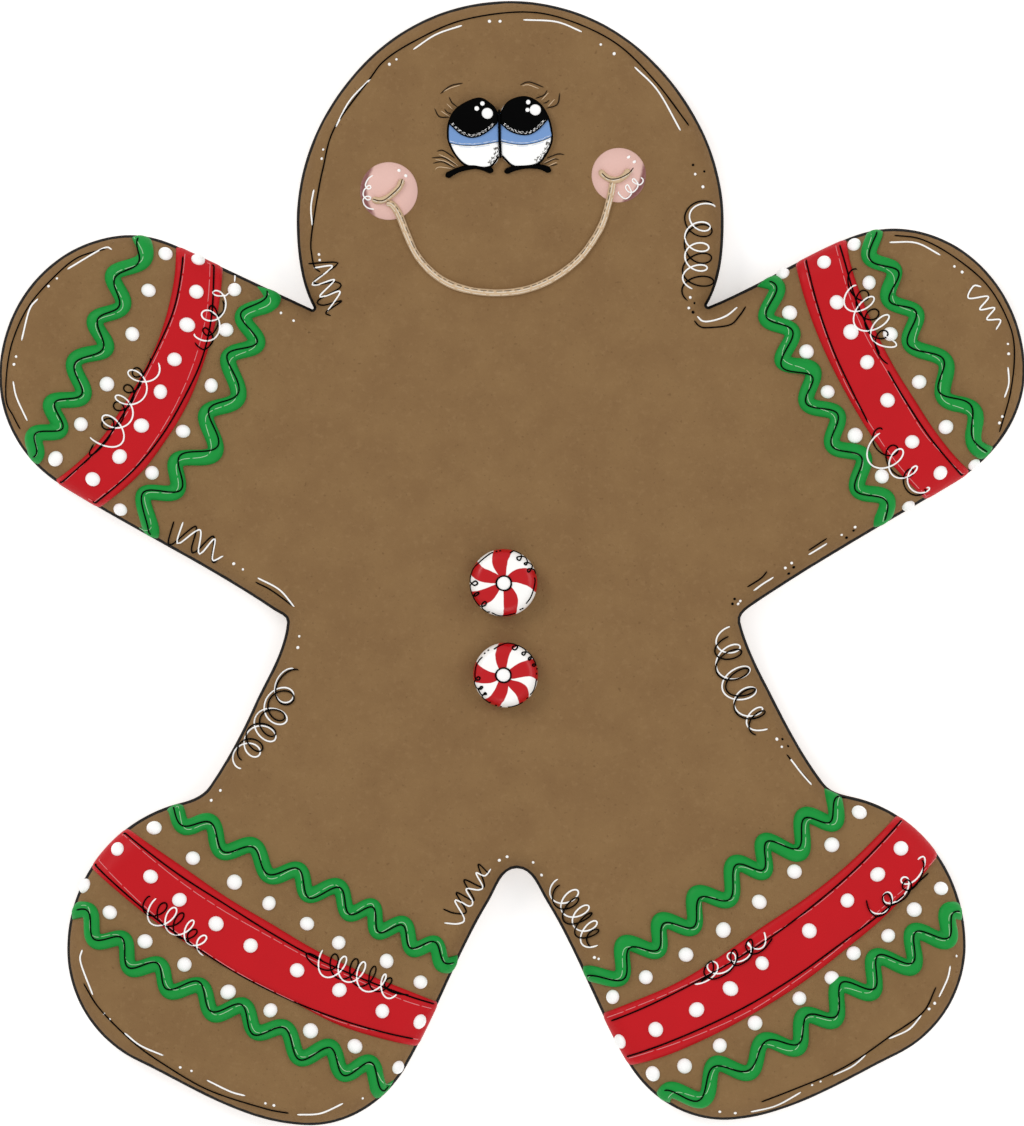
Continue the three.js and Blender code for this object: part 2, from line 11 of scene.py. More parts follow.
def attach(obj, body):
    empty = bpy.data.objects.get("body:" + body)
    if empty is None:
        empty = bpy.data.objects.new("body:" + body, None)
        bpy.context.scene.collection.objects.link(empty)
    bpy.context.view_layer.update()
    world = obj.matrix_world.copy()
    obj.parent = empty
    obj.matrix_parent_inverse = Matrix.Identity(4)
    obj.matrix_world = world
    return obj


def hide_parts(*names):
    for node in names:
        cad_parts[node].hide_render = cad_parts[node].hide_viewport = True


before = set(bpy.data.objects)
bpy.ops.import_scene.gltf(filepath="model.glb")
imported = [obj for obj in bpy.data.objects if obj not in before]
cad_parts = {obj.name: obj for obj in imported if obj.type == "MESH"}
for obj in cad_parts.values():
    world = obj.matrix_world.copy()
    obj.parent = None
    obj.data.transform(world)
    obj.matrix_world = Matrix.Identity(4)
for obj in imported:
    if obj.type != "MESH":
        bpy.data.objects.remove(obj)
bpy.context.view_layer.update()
mm = 0.001  # shapes are worked out in millimetres and scaled to metres when a piece is finished
up = Vector((0, 0, 1))
collection = bpy.context.scene.collection
random.seed(12)


class Value:
    # one socket of a recipe, so that sums of sockets are written as sums

    def __init__(self, recipe, socket):
        self.recipe = recipe
        self.socket = socket

    def maths(self, operation, first, second, clamp=False):
        settings = {"operation": operation, "use_clamp": clamp}
        return self.recipe.node("ShaderNodeMath", settings, {0: first, 1: second})

    def __add__(self, other):
        return self.maths("ADD", self, other)

    def __radd__(self, other):
        return self.maths("ADD", other, self)

    def __sub__(self, other):
        return self.maths("SUBTRACT", self, other)

    def __rsub__(self, other):
        return self.maths("SUBTRACT", other, self)

    def __mul__(self, other):
        return self.maths("MULTIPLY", self, other)

    def __rmul__(self, other):
        return self.maths("MULTIPLY", other, self)

    def __truediv__(self, other):
        return self.maths("DIVIDE", self, other)

    def __pow__(self, other):
        return self.maths("POWER", self, other)

    def largest(self, other):
        return self.maths("MAXIMUM", self, other)


class Recipe:
    # a material round one Principled shader

    def __init__(self, name, roughness=0.5, specular=0.5):
        self.material = bpy.data.materials.new(name)
        self.material.use_nodes = True
        self.tree = self.material.node_tree
        self.shader = self.tree.nodes["Principled BSDF"]
        self.shader.inputs["Roughness"].default_value = roughness
        self.shader.inputs["Specular IOR Level"].default_value = specular

    def plug(self, socket, value):
        if isinstance(value, Value):
            self.tree.links.new(value.socket, socket)
        else:
            socket.default_value = value

    def node(self, kind, settings=None, inputs=None, output=0):
        made = self.tree.nodes.new(kind)
        for key, value in (settings or {}).items():
            setattr(made, key, value)
        for key, value in (inputs or {}).items():
            self.plug(made.inputs[key], value)
        return Value(self, made.outputs[output])

    def place(self):
        return self.node("ShaderNodeTexCoord", output="Object")

    def noise(self, size, detail=2.0, roughness=0.5, shift=0.0):
        # size is the width of one patch in millimetres
        spot = self.node("ShaderNodeMapping", {}, {"Vector": self.place(), "Location": (shift, 0, 0)})
        values = {"Vector": spot, "Scale": 1 / (size * mm), "Detail": detail, "Roughness": roughness}
        return self.node("ShaderNodeTexNoise", {}, values)

    def drift(self, size, detail, reach, shift=0.0):
        # noise about 0 that reaches half its reach to each side
        return (self.noise(size, detail, shift=shift) - 0.5) * reach

    def cells(self, size):
        # the distance from the middle of the nearest cell
        return self.node("ShaderNodeTexVoronoi", {}, {"Vector": self.place(), "Scale": 1 / (size * mm)})

    def mask(self, value, low, high):
        # 0 below low, 1 above high, smooth between
        settings = {"interpolation_type": "SMOOTHSTEP", "clamp": True}
        return self.node("ShaderNodeMapRange", settings, {"Value": value, "From Min": low, "From Max": high})

    def tint(self, factor, first, second):
        settings = {"data_type": "RGBA", "clamp_factor": True}
        return self.node("ShaderNodeMix", settings, {0: factor, 6: first, 7: second}, output=2)

    def attribute(self, name):
        return self.node("ShaderNodeAttribute", {"attribute_name": name}, output="Fac")

    def paint(self, socket, value):
        self.plug(self.shader.inputs[socket], value)

    def bump(self, height, distance):
        values = {"Height": height, "Distance": distance * mm, "Strength": 1.0}
        self.paint("Normal", self.node("ShaderNodeBump", {}, values))


def colour(red, green, blue):
    # the colour as picked from a swatch, 0 to 255, made linear
    shares = [channel / 255 for channel in (red, green, blue)]
    linear = [share / 12.92 if share < 0.04045 else ((share + 0.055) / 1.055) ** 2.4 for share in shares]
    return (*linear, 1)


def shaded(shade, factor):
    return (*[channel * factor for channel in shade[:3]], 1)


skin = {
    "patch": 5.0,
    "shineGrain": 1.3,
    "shineRange": 0.16,
    "ripple": 1.1,
    "fineRipple": 0.22,
    "fineShare": 0.25,
    "rippleHeight": 0.05,
}


def driedSkin(recipe, roughness):
    # dried icing: a satin shine that is a little uneven, and a faint skin of ripples
    shine = recipe.noise(skin["shineGrain"]) * skin["shineRange"]
    recipe.paint("Roughness", shine + (roughness - skin["shineRange"] / 2))
    fineRipples = recipe.noise(skin["fineRipple"]) * skin["fineShare"]
    recipe.bump(recipe.noise(skin["ripple"], 3.0, 0.6) + fineRipples, skin["rippleHeight"])


def icing(name, shade, roughness, variation, specular=0.35):
    # royal icing, nearly even in colour
    recipe = Recipe(name, roughness, specular)
    darker, lighter = shaded(shade, 1 - variation), shaded(shade, 1 + variation)
    recipe.paint("Base Color", recipe.tint(recipe.noise(skin["patch"]), darker, lighter))
    driedSkin(recipe, roughness)
    return recipe.material


# gingerbread: colours, widths of patches, how strongly they show, and where the edge is browner and burnt
crust = {
    "middle": (136, 106, 70),
    "light": (143, 113, 77),
    "deep": (129, 99, 65),
    "edge": (104, 76, 48),
    "burnt": (5, 4, 3),
    "mottling": 7.0,
    "crumb": 0.8,
    "crumbShare": 0.6,
    "flecks": 0.55,
    "fleckShare": 0.5,
    "brownInset": (0.2, 2.6),
    "brownShare": 0.16,
    "burntInset": (0.38, 0.45),
    "burntHeight": (3.3, 4.3),
    "pores": 0.9,
    "grain": 0.35,
    "relief": 0.2,
    "roughness": (0.78, 0.12),
}


def bakedBiscuit():
    # fine matt crumb, faint mottling, dark flecks of spice, a browner edge with a burnt line round it
    recipe = Recipe("baked_gingerbread", 0.85, 0.12)
    names = ("middle", "light", "deep", "edge", "burnt")
    middle, light, deep, edge, burnt = [colour(*crust[name]) for name in names]
    mottling = recipe.mask(recipe.noise(crust["mottling"], 4.0, 0.6), 0.3, 0.7)
    crumb = recipe.mask(recipe.noise(crust["crumb"], 4.0, 0.65, shift=0.3), 0.5, 0.75)
    shade = recipe.tint(mottling, deep, middle)
    shade = recipe.tint(crumb * crust["crumbShare"], shade, light)
    flecks = recipe.mask(recipe.noise(crust["flecks"], 1.0, shift=0.7), 0.7, 0.78)
    shade = recipe.tint(flecks * crust["fleckShare"], shade, edge)
    inset = recipe.attribute("inset")
    browning = 1 - recipe.mask(inset + recipe.drift(3.5, 3.0, 1.2), *crust["brownInset"])
    shade = recipe.tint(browning * crust["brownShare"], shade, edge)
    height = recipe.node("ShaderNodeSeparateXYZ", {}, {0: recipe.place()}, 2)
    low, high = crust["burntHeight"]
    line = 1 - recipe.mask(inset + recipe.drift(1.2, 2.0, 0.14), *crust["burntInset"])
    upwards = recipe.mask(height + recipe.drift(3.0, 3.0, 0.8 * mm, shift=0.5), low * mm, high * mm)
    recipe.paint("Base Color", recipe.tint(line * upwards, shade, burnt))
    pores = recipe.mask(recipe.cells(crust["pores"]), 0.0, 0.28)
    grain = recipe.noise(crust["grain"], 5.0, 0.7) * 0.5 + pores * 0.35 + recipe.noise(2.4, 3.0) * 0.3
    recipe.bump(grain, crust["relief"])
    least, reach = crust["roughness"]
    recipe.paint("Roughness", recipe.noise(1.5) * reach + least)
    return recipe.material


def clamped(value):
    return min(max(value, 0), 1)


def heading(degrees):
    angle = math.radians(degrees)
    return Vector((math.cos(angle), math.sin(angle)))


def roundCorner(anchor, radius):
    # a corner with two headings becomes two anchors
    if len(anchor) == 3:
        return [anchor]
    x, y, before, after = anchor
    reach = radius * abs(math.tan(math.radians(after - before) / 2))
    first = Vector((x, y)) - heading(before) * reach
    second = Vector((x, y)) + heading(after) * reach
    return [(first.x, first.y, before), (second.x, second.y, after)]


def smoothLine(anchors, closed, stepLength):
    # a smooth line through anchors of x, y and heading, with a second heading at a sharp corner
    points = []
    spans = len(anchors) if closed else len(anchors) - 1
    for i in range(spans):
        startAnchor, endAnchor = anchors[i], anchors[(i + 1) % len(anchors)]
        start, end = Vector(startAnchor[:2]), Vector(endAnchor[:2])
        leaving, arriving = startAnchor[-1], endAnchor[2]
        turn = (arriving - leaving + 180) % 360 - 180
        chord = (end - start).length
        handle = chord * 2 / 3 / (1 + math.cos(math.radians(turn) / 2))
        first, second = start + heading(leaving) * handle, end - heading(arriving) * handle
        steps = max(2, math.ceil(chord / stepLength), math.ceil(abs(turn) / 16))
        for k in range(steps):
            t = k / steps
            s = 1 - t
            points.append(start * s**3 + first * 3 * s * s * t + second * 3 * s * t * t + end * t**3)
    if not closed:
        points.append(Vector(anchors[-1][:2]))
    return points


def easedBetween(a, b, c, d, f):
    # the smooth way from b to c, with a and d as their neighbours
    return (b * 2 + (c - a) * f + (a * 2 - b * 5 + c * 4 - d) * f * f + (b * 3 - a - c * 3 + d) * f**3) / 2


def throughPoints(spots, stepLength, closed=False):
    # a smooth line through plain points
    places = [Vector(spot) for spot in spots]
    if closed:
        ends = [places[-1], *places, places[0], places[1]]
    else:
        ends = [places[0] * 2 - places[1], *places, places[-1] * 2 - places[-2]]
    points = []
    for a, b, c, d in zip(ends, ends[1:], ends[2:], ends[3:]):
        steps = max(2, math.ceil((c - b).length / stepLength))
        points += [easedBetween(a, b, c, d, k / steps) for k in range(steps)]
    return points if closed else [*points, places[-1]]


def alongValues(values, t):
    # a smooth value out of evenly spaced ones, held beyond both ends
    ends = [values[0] * 2 - values[1], *values, values[-1] * 2 - values[-2]]
    x = clamped(t) * (len(values) - 1)
    i = min(int(x), len(values) - 2)
    return easedBetween(*ends[i:i + 4], x - i)


def beside(line, aside):
    # the same line, moved over to its left
    moved = []
    for i, point in enumerate(line):
        along = line[min(i + 1, len(line) - 1)] - line[max(i - 1, 0)]
        moved.append(point + Vector((-along.y, along.x)).normalized() * aside)
    return moved


def broken(line, dash, gap):
    # keeps dashes of a line, of uneven length
    pieces, piece, left, keep = [], [], dash * random.uniform(0.5, 1.4), True
    for a, b in zip(line, line[1:]):
        if keep:
            piece.append(a)
        left -= (b - a).length
        if left <= 0:
            if keep and len(piece) > 2:
                pieces.append(piece)
            piece = []
            keep = not keep
            left = (dash if keep else gap) * random.uniform(0.5, 1.5)
    if len(piece) > 2:
        pieces.append(piece)
    return pieces


def chalk(line, width, dash, gap, lanes=1):
    # the grains of a dry, dragged stroke, in lanes beside each other
    grains = []
    for lane in range(lanes):
        aside = width * ((lane + 0.5) / lanes - 0.5)
        for piece in broken(beside(line, aside), dash, gap):
            grains.append(beside(piece, random.uniform(-0.3, 0.3) * width / lanes))
    return grains


class Arc:
    # a quadratic curve from start, control and end

    def __init__(self, line):
        self.start, self.control, self.end = [Vector(spot) for spot in line]
        steps = [self.at(i / 60) for i in range(61)]
        self.length = sum((b - a).length for a, b in zip(steps, steps[1:]))

    def at(self, t):
        return self.start * (1 - t) ** 2 + self.control * 2 * t * (1 - t) + self.end * t * t

    def left(self, t):
        t = clamped(t)
        along = (self.control - self.start) * (1 - t) + (self.end - self.control) * t
        return Vector((-along.y, along.x)).normalized()


# biscuit: its section, its outline in anchors of x, y and heading, and the swells of the dough, each with its
# width, a shift and its height
biscuit = {
    "thickness": 7.6,
    "shoulderHeight": 3.6,
    "shoulderRun": 3.4,
    "shoulderSteps": 10,
    "footInset": 0.8,
    "footRise": 1.4,
    "wallSteps": 3,
    "cornerRadius": 0.16,
    "step": 0.8,
    "cell": 0.8,
    "swells": [(17, (0, 0, 0), 0.14), (4.1, (9, 0, 0), 0.07), (1.7, (0, 5, 0), 0.03)],
    "swellsFrom": (1.0, 2.0),
    "edgeSwell": 0.3,
    "edgeRun": 3,
    "settled": 0.02,
    "outline": [
        (27.5, 36.3, -120, 22), (47.3, 46.0, 23), (55.5, 47.5, -5), (72.9, 28.5, -86), (62.8, 11.4, -149),
        (34.2, -6.0, -146), (32.5, -8.4, -76), (37.5, -19.9, -63), (44.3, -31.3, -53), (48.7, -33.3, -13),
        (64.5, -53.6, -88), (54.7, -69.9, -154), (31.5, -79.1, -175), (16.5, -71.1, 121), (4.9, -48.1, 122),
        (0.7, -43.4, 180), (-3.3, -48.1, -121), (-15.0, -71.5, -120), (-29.6, -79.9, 177),
        (-53.2, -70.8, 154), (-63.2, -54.9, 90), (-47.2, -34.1, 14), (-43.0, -31.7, 56), (-36.8, -20.5, 66),
        (-32.0, -8.4, 85), (-33.9, -6.7, 146), (-64.3, 11.2, 148), (-72.9, 26.8, 89), (-55.0, 46.6, 4),
        (-46.8, 44.7, -25), (-28.0, 35.9, -25, 118), (-30.6, 47.9, 91), (-20.2, 71.9, 44), (-0.3, 79.9, 0),
        (19.6, 71.8, -44), (30.1, 48.0, -91),
    ],
}  # fmt: skip

rounded = [part for anchor in biscuit["outline"] for part in roundCorner(anchor, biscuit["cornerRadius"])]
fineOutline = smoothLine(rounded, True, 0.3)[::-1]  # counter-clockwise
edgeInwards = []
edgeTree = kdtree.KDTree(len(fineOutline))
for i, point in enumerate(fineOutline):
    along = (fineOutline[(i + 1) % len(fineOutline)] - fineOutline[i - 1]).normalized()
    edgeInwards.append(Vector((-along.y, along.x)))
    edgeTree.insert(point.to_3d(), i)
edgeTree.balance()


def insetAt(place):
    # how far a place lies in from the edge, and the direction inwards there
    foot, index, away = edgeTree.find((place[0], place[1], 0))
    inwards = edgeInwards[index]
    return (Vector(place[:2]) - foot.to_2d()).dot(inwards), inwards


def surfaceNormal(place):
    inset, inwards = insetAt(place)
    share = min(max(inset, 0.3) / biscuit["shoulderRun"], 1)
    rise = biscuit["thickness"] - biscuit["shoulderHeight"]
    slope = rise / biscuit["shoulderRun"] * (1 - share) / math.sqrt(1 - (1 - share) ** 2)
    return Vector((-slope * inwards.x, -slope * inwards.y, 1)).normalized()


def finishPiece(name, bm, material, stands=()):
    bmesh.ops.scale(bm, vec=(mm, mm, mm), verts=bm.verts)
    mesh = bpy.data.meshes.new(name)
    bm.to_mesh(mesh)
    bm.free()
    mesh.materials.append(material)
    mesh.shade_smooth()
    piece = bpy.data.objects.new(name, mesh)
    collection.objects.link(piece)
    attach(piece, "root")
    if stands:
        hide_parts(*stands)


def raised(bm, face, height):
    # lifts a face on upright sides and gives back its new top
    parts = bmesh.ops.extrude_face_region(bm, geom=[face])["geom"]
    top = next(part for part in parts if isinstance(part, bmesh.types.BMFace))
    bmesh.ops.translate(bm, vec=(0, 0, height), verts=top.verts)
    return top


def roundOff(bm, top, run, rise, steps):
    # rounds off the edge of a top in a quarter turn
    done = (0.0, 0.0)
    for i in range(1, steps + 1):
        angle = math.pi / 2 * i / steps
        reach = (run * (1 - math.cos(angle)), rise * math.sin(angle))
        bmesh.ops.inset_region(
            bm, faces=[top], thickness=reach[0] - done[0], depth=reach[1] - done[1], use_even_offset=True
        )
        done = reach


def makeBody():
    # the outline raised as a wall, drawn in below as a foot and above as a rounded shoulder
    bm = bmesh.new()
    loop = smoothLine(rounded, True, biscuit["step"])[::-1]
    bottom = bm.faces.new([bm.verts.new((point.x, point.y, biscuit["footRise"])) for point in loop])
    wall = biscuit["shoulderHeight"] - biscuit["footRise"]
    top = bottom
    for _ in range(biscuit["wallSteps"]):
        top = raised(bm, top, wall / biscuit["wallSteps"])
    bmesh.ops.recalc_face_normals(bm, faces=bm.faces)
    bmesh.ops.inset_region(
        bm, faces=[bottom], thickness=biscuit["footInset"], depth=biscuit["footRise"], use_even_offset=True
    )
    rise = biscuit["thickness"] - biscuit["shoulderHeight"]
    roundOff(bm, top, biscuit["shoulderRun"], rise, biscuit["shoulderSteps"])
    cutIntoCells(bm, top, biscuit["cell"])
    bmesh.ops.triangulate(bm, faces=[face for face in bm.faces if len(face.verts) > 4])
    return bm


def cutIntoCells(bm, face, pitch):
    # cuts one level face into even cells, so that its surface can swell and pucker
    parts = [face]
    for axis in (0, 1):
        normal = Vector((1 - axis, axis, 0))
        at = min(vert.co[axis] for part in parts for vert in part.verts) + pitch / 2
        done = []
        while parts:
            edges = {edge for part in parts for edge in part.edges}
            verts = {vert for part in parts for vert in part.verts}
            cut = bmesh.ops.bisect_plane(
                bm, geom=[*parts, *edges, *verts], plane_co=normal * at, plane_no=normal, dist=1e-5
            )
            faces = [part for part in cut["geom"] if isinstance(part, bmesh.types.BMFace)]
            parts = [part for part in faces if part.calc_center_median()[axis] > at]
            done += [part for part in faces if part.calc_center_median()[axis] <= at]
            at += pitch
        parts = done
    level = [vert for vert in bm.verts if vert.co.z > biscuit["thickness"] - 1e-4]
    bmesh.ops.remove_doubles(bm, verts=level, dist=0.09)


def bakeRelief(bm):
    # low swells of the dough and finer puckers, less of both down the side
    insetLayer = bm.verts.layers.float.new("inset")
    bm.normal_update()
    low, run = biscuit["swellsFrom"]
    for vert in bm.verts:
        inset, _ = insetAt(vert.co)
        vert[insetLayer] = inset
        swell = 0
        for width, shift, height in biscuit["swells"]:
            place = Vector([value / width + moved for value, moved in zip(vert.co, shift)])
            swell += height * noise.noise(place)
        inwards = biscuit["edgeSwell"] + (1 - biscuit["edgeSwell"]) * clamped(inset / biscuit["edgeRun"])
        share = clamped((vert.co.z - low) / run) * inwards
        vert.co += vert.normal * (swell * share - biscuit["settled"])


bm = makeBody()
bakeRelief(bm)
bodyTree = BVHTree.FromBMesh(bm)
print("biscuit", len(bm.verts), "vertices")
finishPiece("gingerbread", bm, bakedBiscuit(), ["cookie"])


def restOn(tree, place, margin=0.4):
    # the point of a bed under a place, pulled in to the margin where that is nearer to the edge
    inset, inwards = insetAt(place)
    spot = Vector(place[:2]) + inwards * max(margin - inset, 0)
    hit = tree.ray_cast(Vector((spot.x, spot.y, 30)), -up)[0]
    return hit if hit else Vector((spot.x, spot.y, biscuit["shoulderHeight"]))


paints = {
    "red": icing("red_icing", colour(188, 18, 27), 0.5, 0.05, 0.15),
    "green": icing("green_icing", colour(20, 143, 57), 0.5, 0.05, 0.15),
    "white": icing("white_icing", colour(252, 251, 249), 0.5, 0.015),
    "eyeWhite": icing("eye_white_icing", colour(253, 253, 251), 0.45, 0.015),
    "blue": icing("blue_icing", colour(115, 151, 202), 0.5, 0.03, 0.2),
    "black": icing("black_icing", colour(3, 3, 3), 0.7, 0.2, 0.03),
    "tan": icing("tan_icing", colour(206, 178, 144), 0.6, 0.04, 0.2),
    # cream: the painted highlights on the smile and the dimples
    "cream": icing("cream_highlight_icing", colour(238, 228, 212), 0.6, 0.04, 0.2),
    # grey: painted shade in the eye whites and along the smile
    "shadeGrey": icing("grey_shade_icing", colour(84, 79, 73), 0.65, 0.1, 0.1),
    "paleBlue": icing("pale_blue_icing", colour(200, 214, 238), 0.6, 0.05, 0.1),
    # pale green: the painted highlight along the waves
    "paleGreen": icing("pale_green_highlight_icing", colour(165, 210, 165), 0.55, 0.08, 0.1),
    # pale pink: the painted highlight along the bands
    "palePink": icing("pale_pink_highlight_icing", colour(228, 135, 138), 0.55, 0.08, 0.1),
    "hair": icing("dark_brown_icing", colour(40, 30, 20), 0.65, 0.15, 0.05),
}


def closeUnder(bm, depth):
    # draws the open edge of a sheet down into what carries it and shuts the underside
    skirt = bmesh.ops.extrude_edge_only(bm, edges=[edge for edge in bm.edges if edge.is_boundary])["geom"]
    low = {part for part in skirt if isinstance(part, bmesh.types.BMVert)}
    for vert in low:
        vert.co -= surfaceNormal(vert.co) * depth
    rim = [part for part in skirt if isinstance(part, bmesh.types.BMEdge) and low.issuperset(part.verts)]
    made = bmesh.ops.contextual_create(bm, geom=rim)["faces"]
    bmesh.ops.triangulate(bm, faces=made)
    bmesh.ops.recalc_face_normals(bm, faces=bm.faces)


def gridColumns(bm, alongSteps, acrossSteps):
    # a flat grid in columns, each with its share of the way across; they stand closer at both sides
    bmesh.ops.create_grid(bm, x_segments=alongSteps, y_segments=acrossSteps, size=1)
    columns = {}
    for vert in bm.verts:
        columns.setdefault(round(vert.co.y, 4), []).append(vert)
    return [(0.5 + 0.5 * math.sin(v * math.pi / 2), verts) for v, verts in columns.items()]


# red bands: how far each long side, its black stitch line and its pale line, a painted highlight, lie in
# from half the width, at even steps along the band, and the part of the band that the stitch line runs along
bands = {
    "thickness": 0.75,
    "edge": 0.95,
    "endRise": 0.4,
    "sink": 0.06,
    "margin": 0.3,
    "overrun": 0.1,
    "endEdge": 0.665,
    "crowding": 0.8,
    "skirt": 0.5,
    "paleReach": (0.06, 0.95),
    "alongSteps": 110,
    "acrossSteps": 26,
    "rows": [
        {"name": "band_arm_left", "line": [(-44.0, 46.4), (-45.7, 23.4), (-64.5, 6.6)], "width": 7.6,
         "right": {"edge": [0.03, 0.59, 0.78, 0.84, 0.67, 0.58, 0.67, 0.2, -0.85],
                   "stitch": [1.18, 1.5, 1.6, 1.18, 0.94, 1.22, 1.35, 0.85, 0.29], "reach": [(0.07, 0.94)],
                   "pale": [1.46, 1.78, 1.85, 1.53, 1.34, 1.57, 1.4, 1.0, 0.49]},
         "left": {"edge": [0.92, 0.23, -0.22, -0.45, -0.79, -0.73, -0.54, 0.4, 1.86],
                  "stitch": [2.28, 1.42, 0.49, -0.02, 0.05, 0.11, 0.49, 1.34, 2.23], "reach": [(0.07, 0.92)],
                  "pale": [2.78, 2.0, 1.29, 0.9, 0.66, 0.56, 0.64, 1.54, 2.43]}},
        {"name": "band_arm_right", "line": [(43.0, 47.6), (48.6, 24.6), (64.4, 7.7)], "width": 7.7,
         "right": {"edge": [0.29, -0.25, -0.49, -0.52, -0.43, -0.38, -0.23, 0.36, 1.02],
                   "stitch": [1.76, 1.34, 0.94, 0.66, 0.51, 0.17, -0.52, -0.46, -0.36],
                   "reach": [(0.08, 0.61)],
                   "pale": [1.46, 1.04, 0.72, 0.42, 0.18, 0.35, 0.4, 0.8, 0.95]},
         "left": {"edge": [-0.52, 0.28, 0.41, 0.39, 0.29, 0.11, 0.18, 0.03, -0.75],
                  "stitch": [1.09, 1.06, 1.32, 1.26, 1.35, 1.31, 1.34, 1.16, 0.9],
                  "reach": [(0.07, 0.44), (0.5, 0.95)],
                  "pale": [1.49, 1.72, 2.0, 1.96, 1.54, 1.51, 1.62, 1.06, 0.5]}},
        {"name": "band_leg_left", "line": [(-60.9, -37.0), (-37.4, -57.7), (-9.4, -66.8)], "width": 8.3,
         "right": {"edge": [0.43, -0.05, -0.36, -0.38, -0.18, 0.06, -0.17, 0.5, 1.65],
                   "stitch": [1.28, 0.55, 0.08, -0.14, -0.21, 0.07, 0.63, 1.48, 2.65],
                   "reach": [(0.06, 0.93)],
                   "pale": [2.28, 1.25, 0.38, 0.06, -0.07, 0.17, 0.35, 1.46, 2.7]},
         "left": {"edge": [0.95, 0.4, 0.05, 0.08, -0.02, 0.24, 0.24, 0.16, 0.39],
                  "stitch": [1.32, 1.31, 1.27, 1.04, 1.12, 1.24, 1.11, 0.88, 0.56], "reach": [(0.06, 0.95)],
                  "pale": [1.42, 1.66, 1.97, 1.94, 1.72, 1.74, 1.51, 1.68, 1.16]}},
        {"name": "band_leg_right", "line": [(61.3, -35.5), (40.0, -58.9), (11.9, -69.2)], "width": 8.8,
         "right": {"edge": [-0.3, -0.16, 0.01, -0.14, -0.45, -0.15, 0.16, -0.08, -0.22],
                   "stitch": [0.5, 0.87, 1.23, 1.35, 1.46, 1.39, 1.35, 1.33, 1.17], "reach": [(0.06, 0.94)],
                   "pale": [0.6, 1.09, 1.48, 1.59, 1.18, 1.29, 1.05, 0.73, 0.47]},
         "left": {"edge": [1.75, 0.46, -0.22, -0.32, -0.54, -0.5, -0.35, 0.07, 1.36],
                  "stitch": [-0.15, 0.08, 0.42, 0.75, 0.78, 0.92, 1.27, 1.71, 2.34], "reach": [(0.12, 0.94)],
                  "pale": [1.05, 0.78, 0.92, 0.47, 0.28, 0.12, 0.61, 1.31, 2.09]}},
    ],
}  # fmt: skip


def crossing(placeAt, outer, inner, wanted):
    # where along a line the inset from the edge reaches the wanted value, by halving
    for _ in range(26):
        middle = (outer + inner) / 2
        if insetAt(placeAt(middle))[0] < wanted:
            outer = middle
        else:
            inner = middle
    return inner


def roundedRise(away, reach):
    share = clamped(away / reach)
    return math.sqrt(1 - (1 - share) ** 2)


def bandSides(row, t):
    half = row["width"] / 2
    return alongValues(row["right"]["edge"], t) - half, half - alongValues(row["left"]["edge"], t)


def makeBand(row):
    curve = Arc(row["line"])
    bm = bmesh.new()
    for share, verts in gridColumns(bm, bands["alongSteps"], bands["acrossSteps"]):

        def placeAt(t):
            right, left = bandSides(row, t)
            return curve.at(t) + curve.left(t) * (right + (left - right) * share)

        start = crossing(placeAt, -bands["overrun"], 0.5, bands["margin"])
        end = crossing(placeAt, 1 + bands["overrun"], 0.5, bands["margin"])
        for vert in verts:
            s = vert.co.x / 2 + 0.5
            s -= bands["crowding"] * math.sin(2 * math.pi * s) / (2 * math.pi)
            t = start + (end - start) * s
            right, left = bandSides(row, t)
            toEnd = roundedRise(min(t - start, end - t) * curve.length, bands["endEdge"])
            rise = roundedRise(min(share, 1 - share) * (left - right), bands["edge"])
            rise *= bands["endRise"] + (1 - bands["endRise"]) * toEnd
            base = restOn(bodyTree, placeAt(t), bands["margin"])
            vert.co = base + surfaceNormal(base) * (rise * bands["thickness"] - bands["sink"])
    closeUnder(bm, bands["skirt"])
    return bm


bandTrees = {}
for row in bands["rows"]:
    bm = makeBand(row)
    bandTrees[row["name"]] = BVHTree.FromBMesh(bm)
    finishPiece("flooded_" + row["name"], bm, paints["red"], [row["name"]])
print("bands")
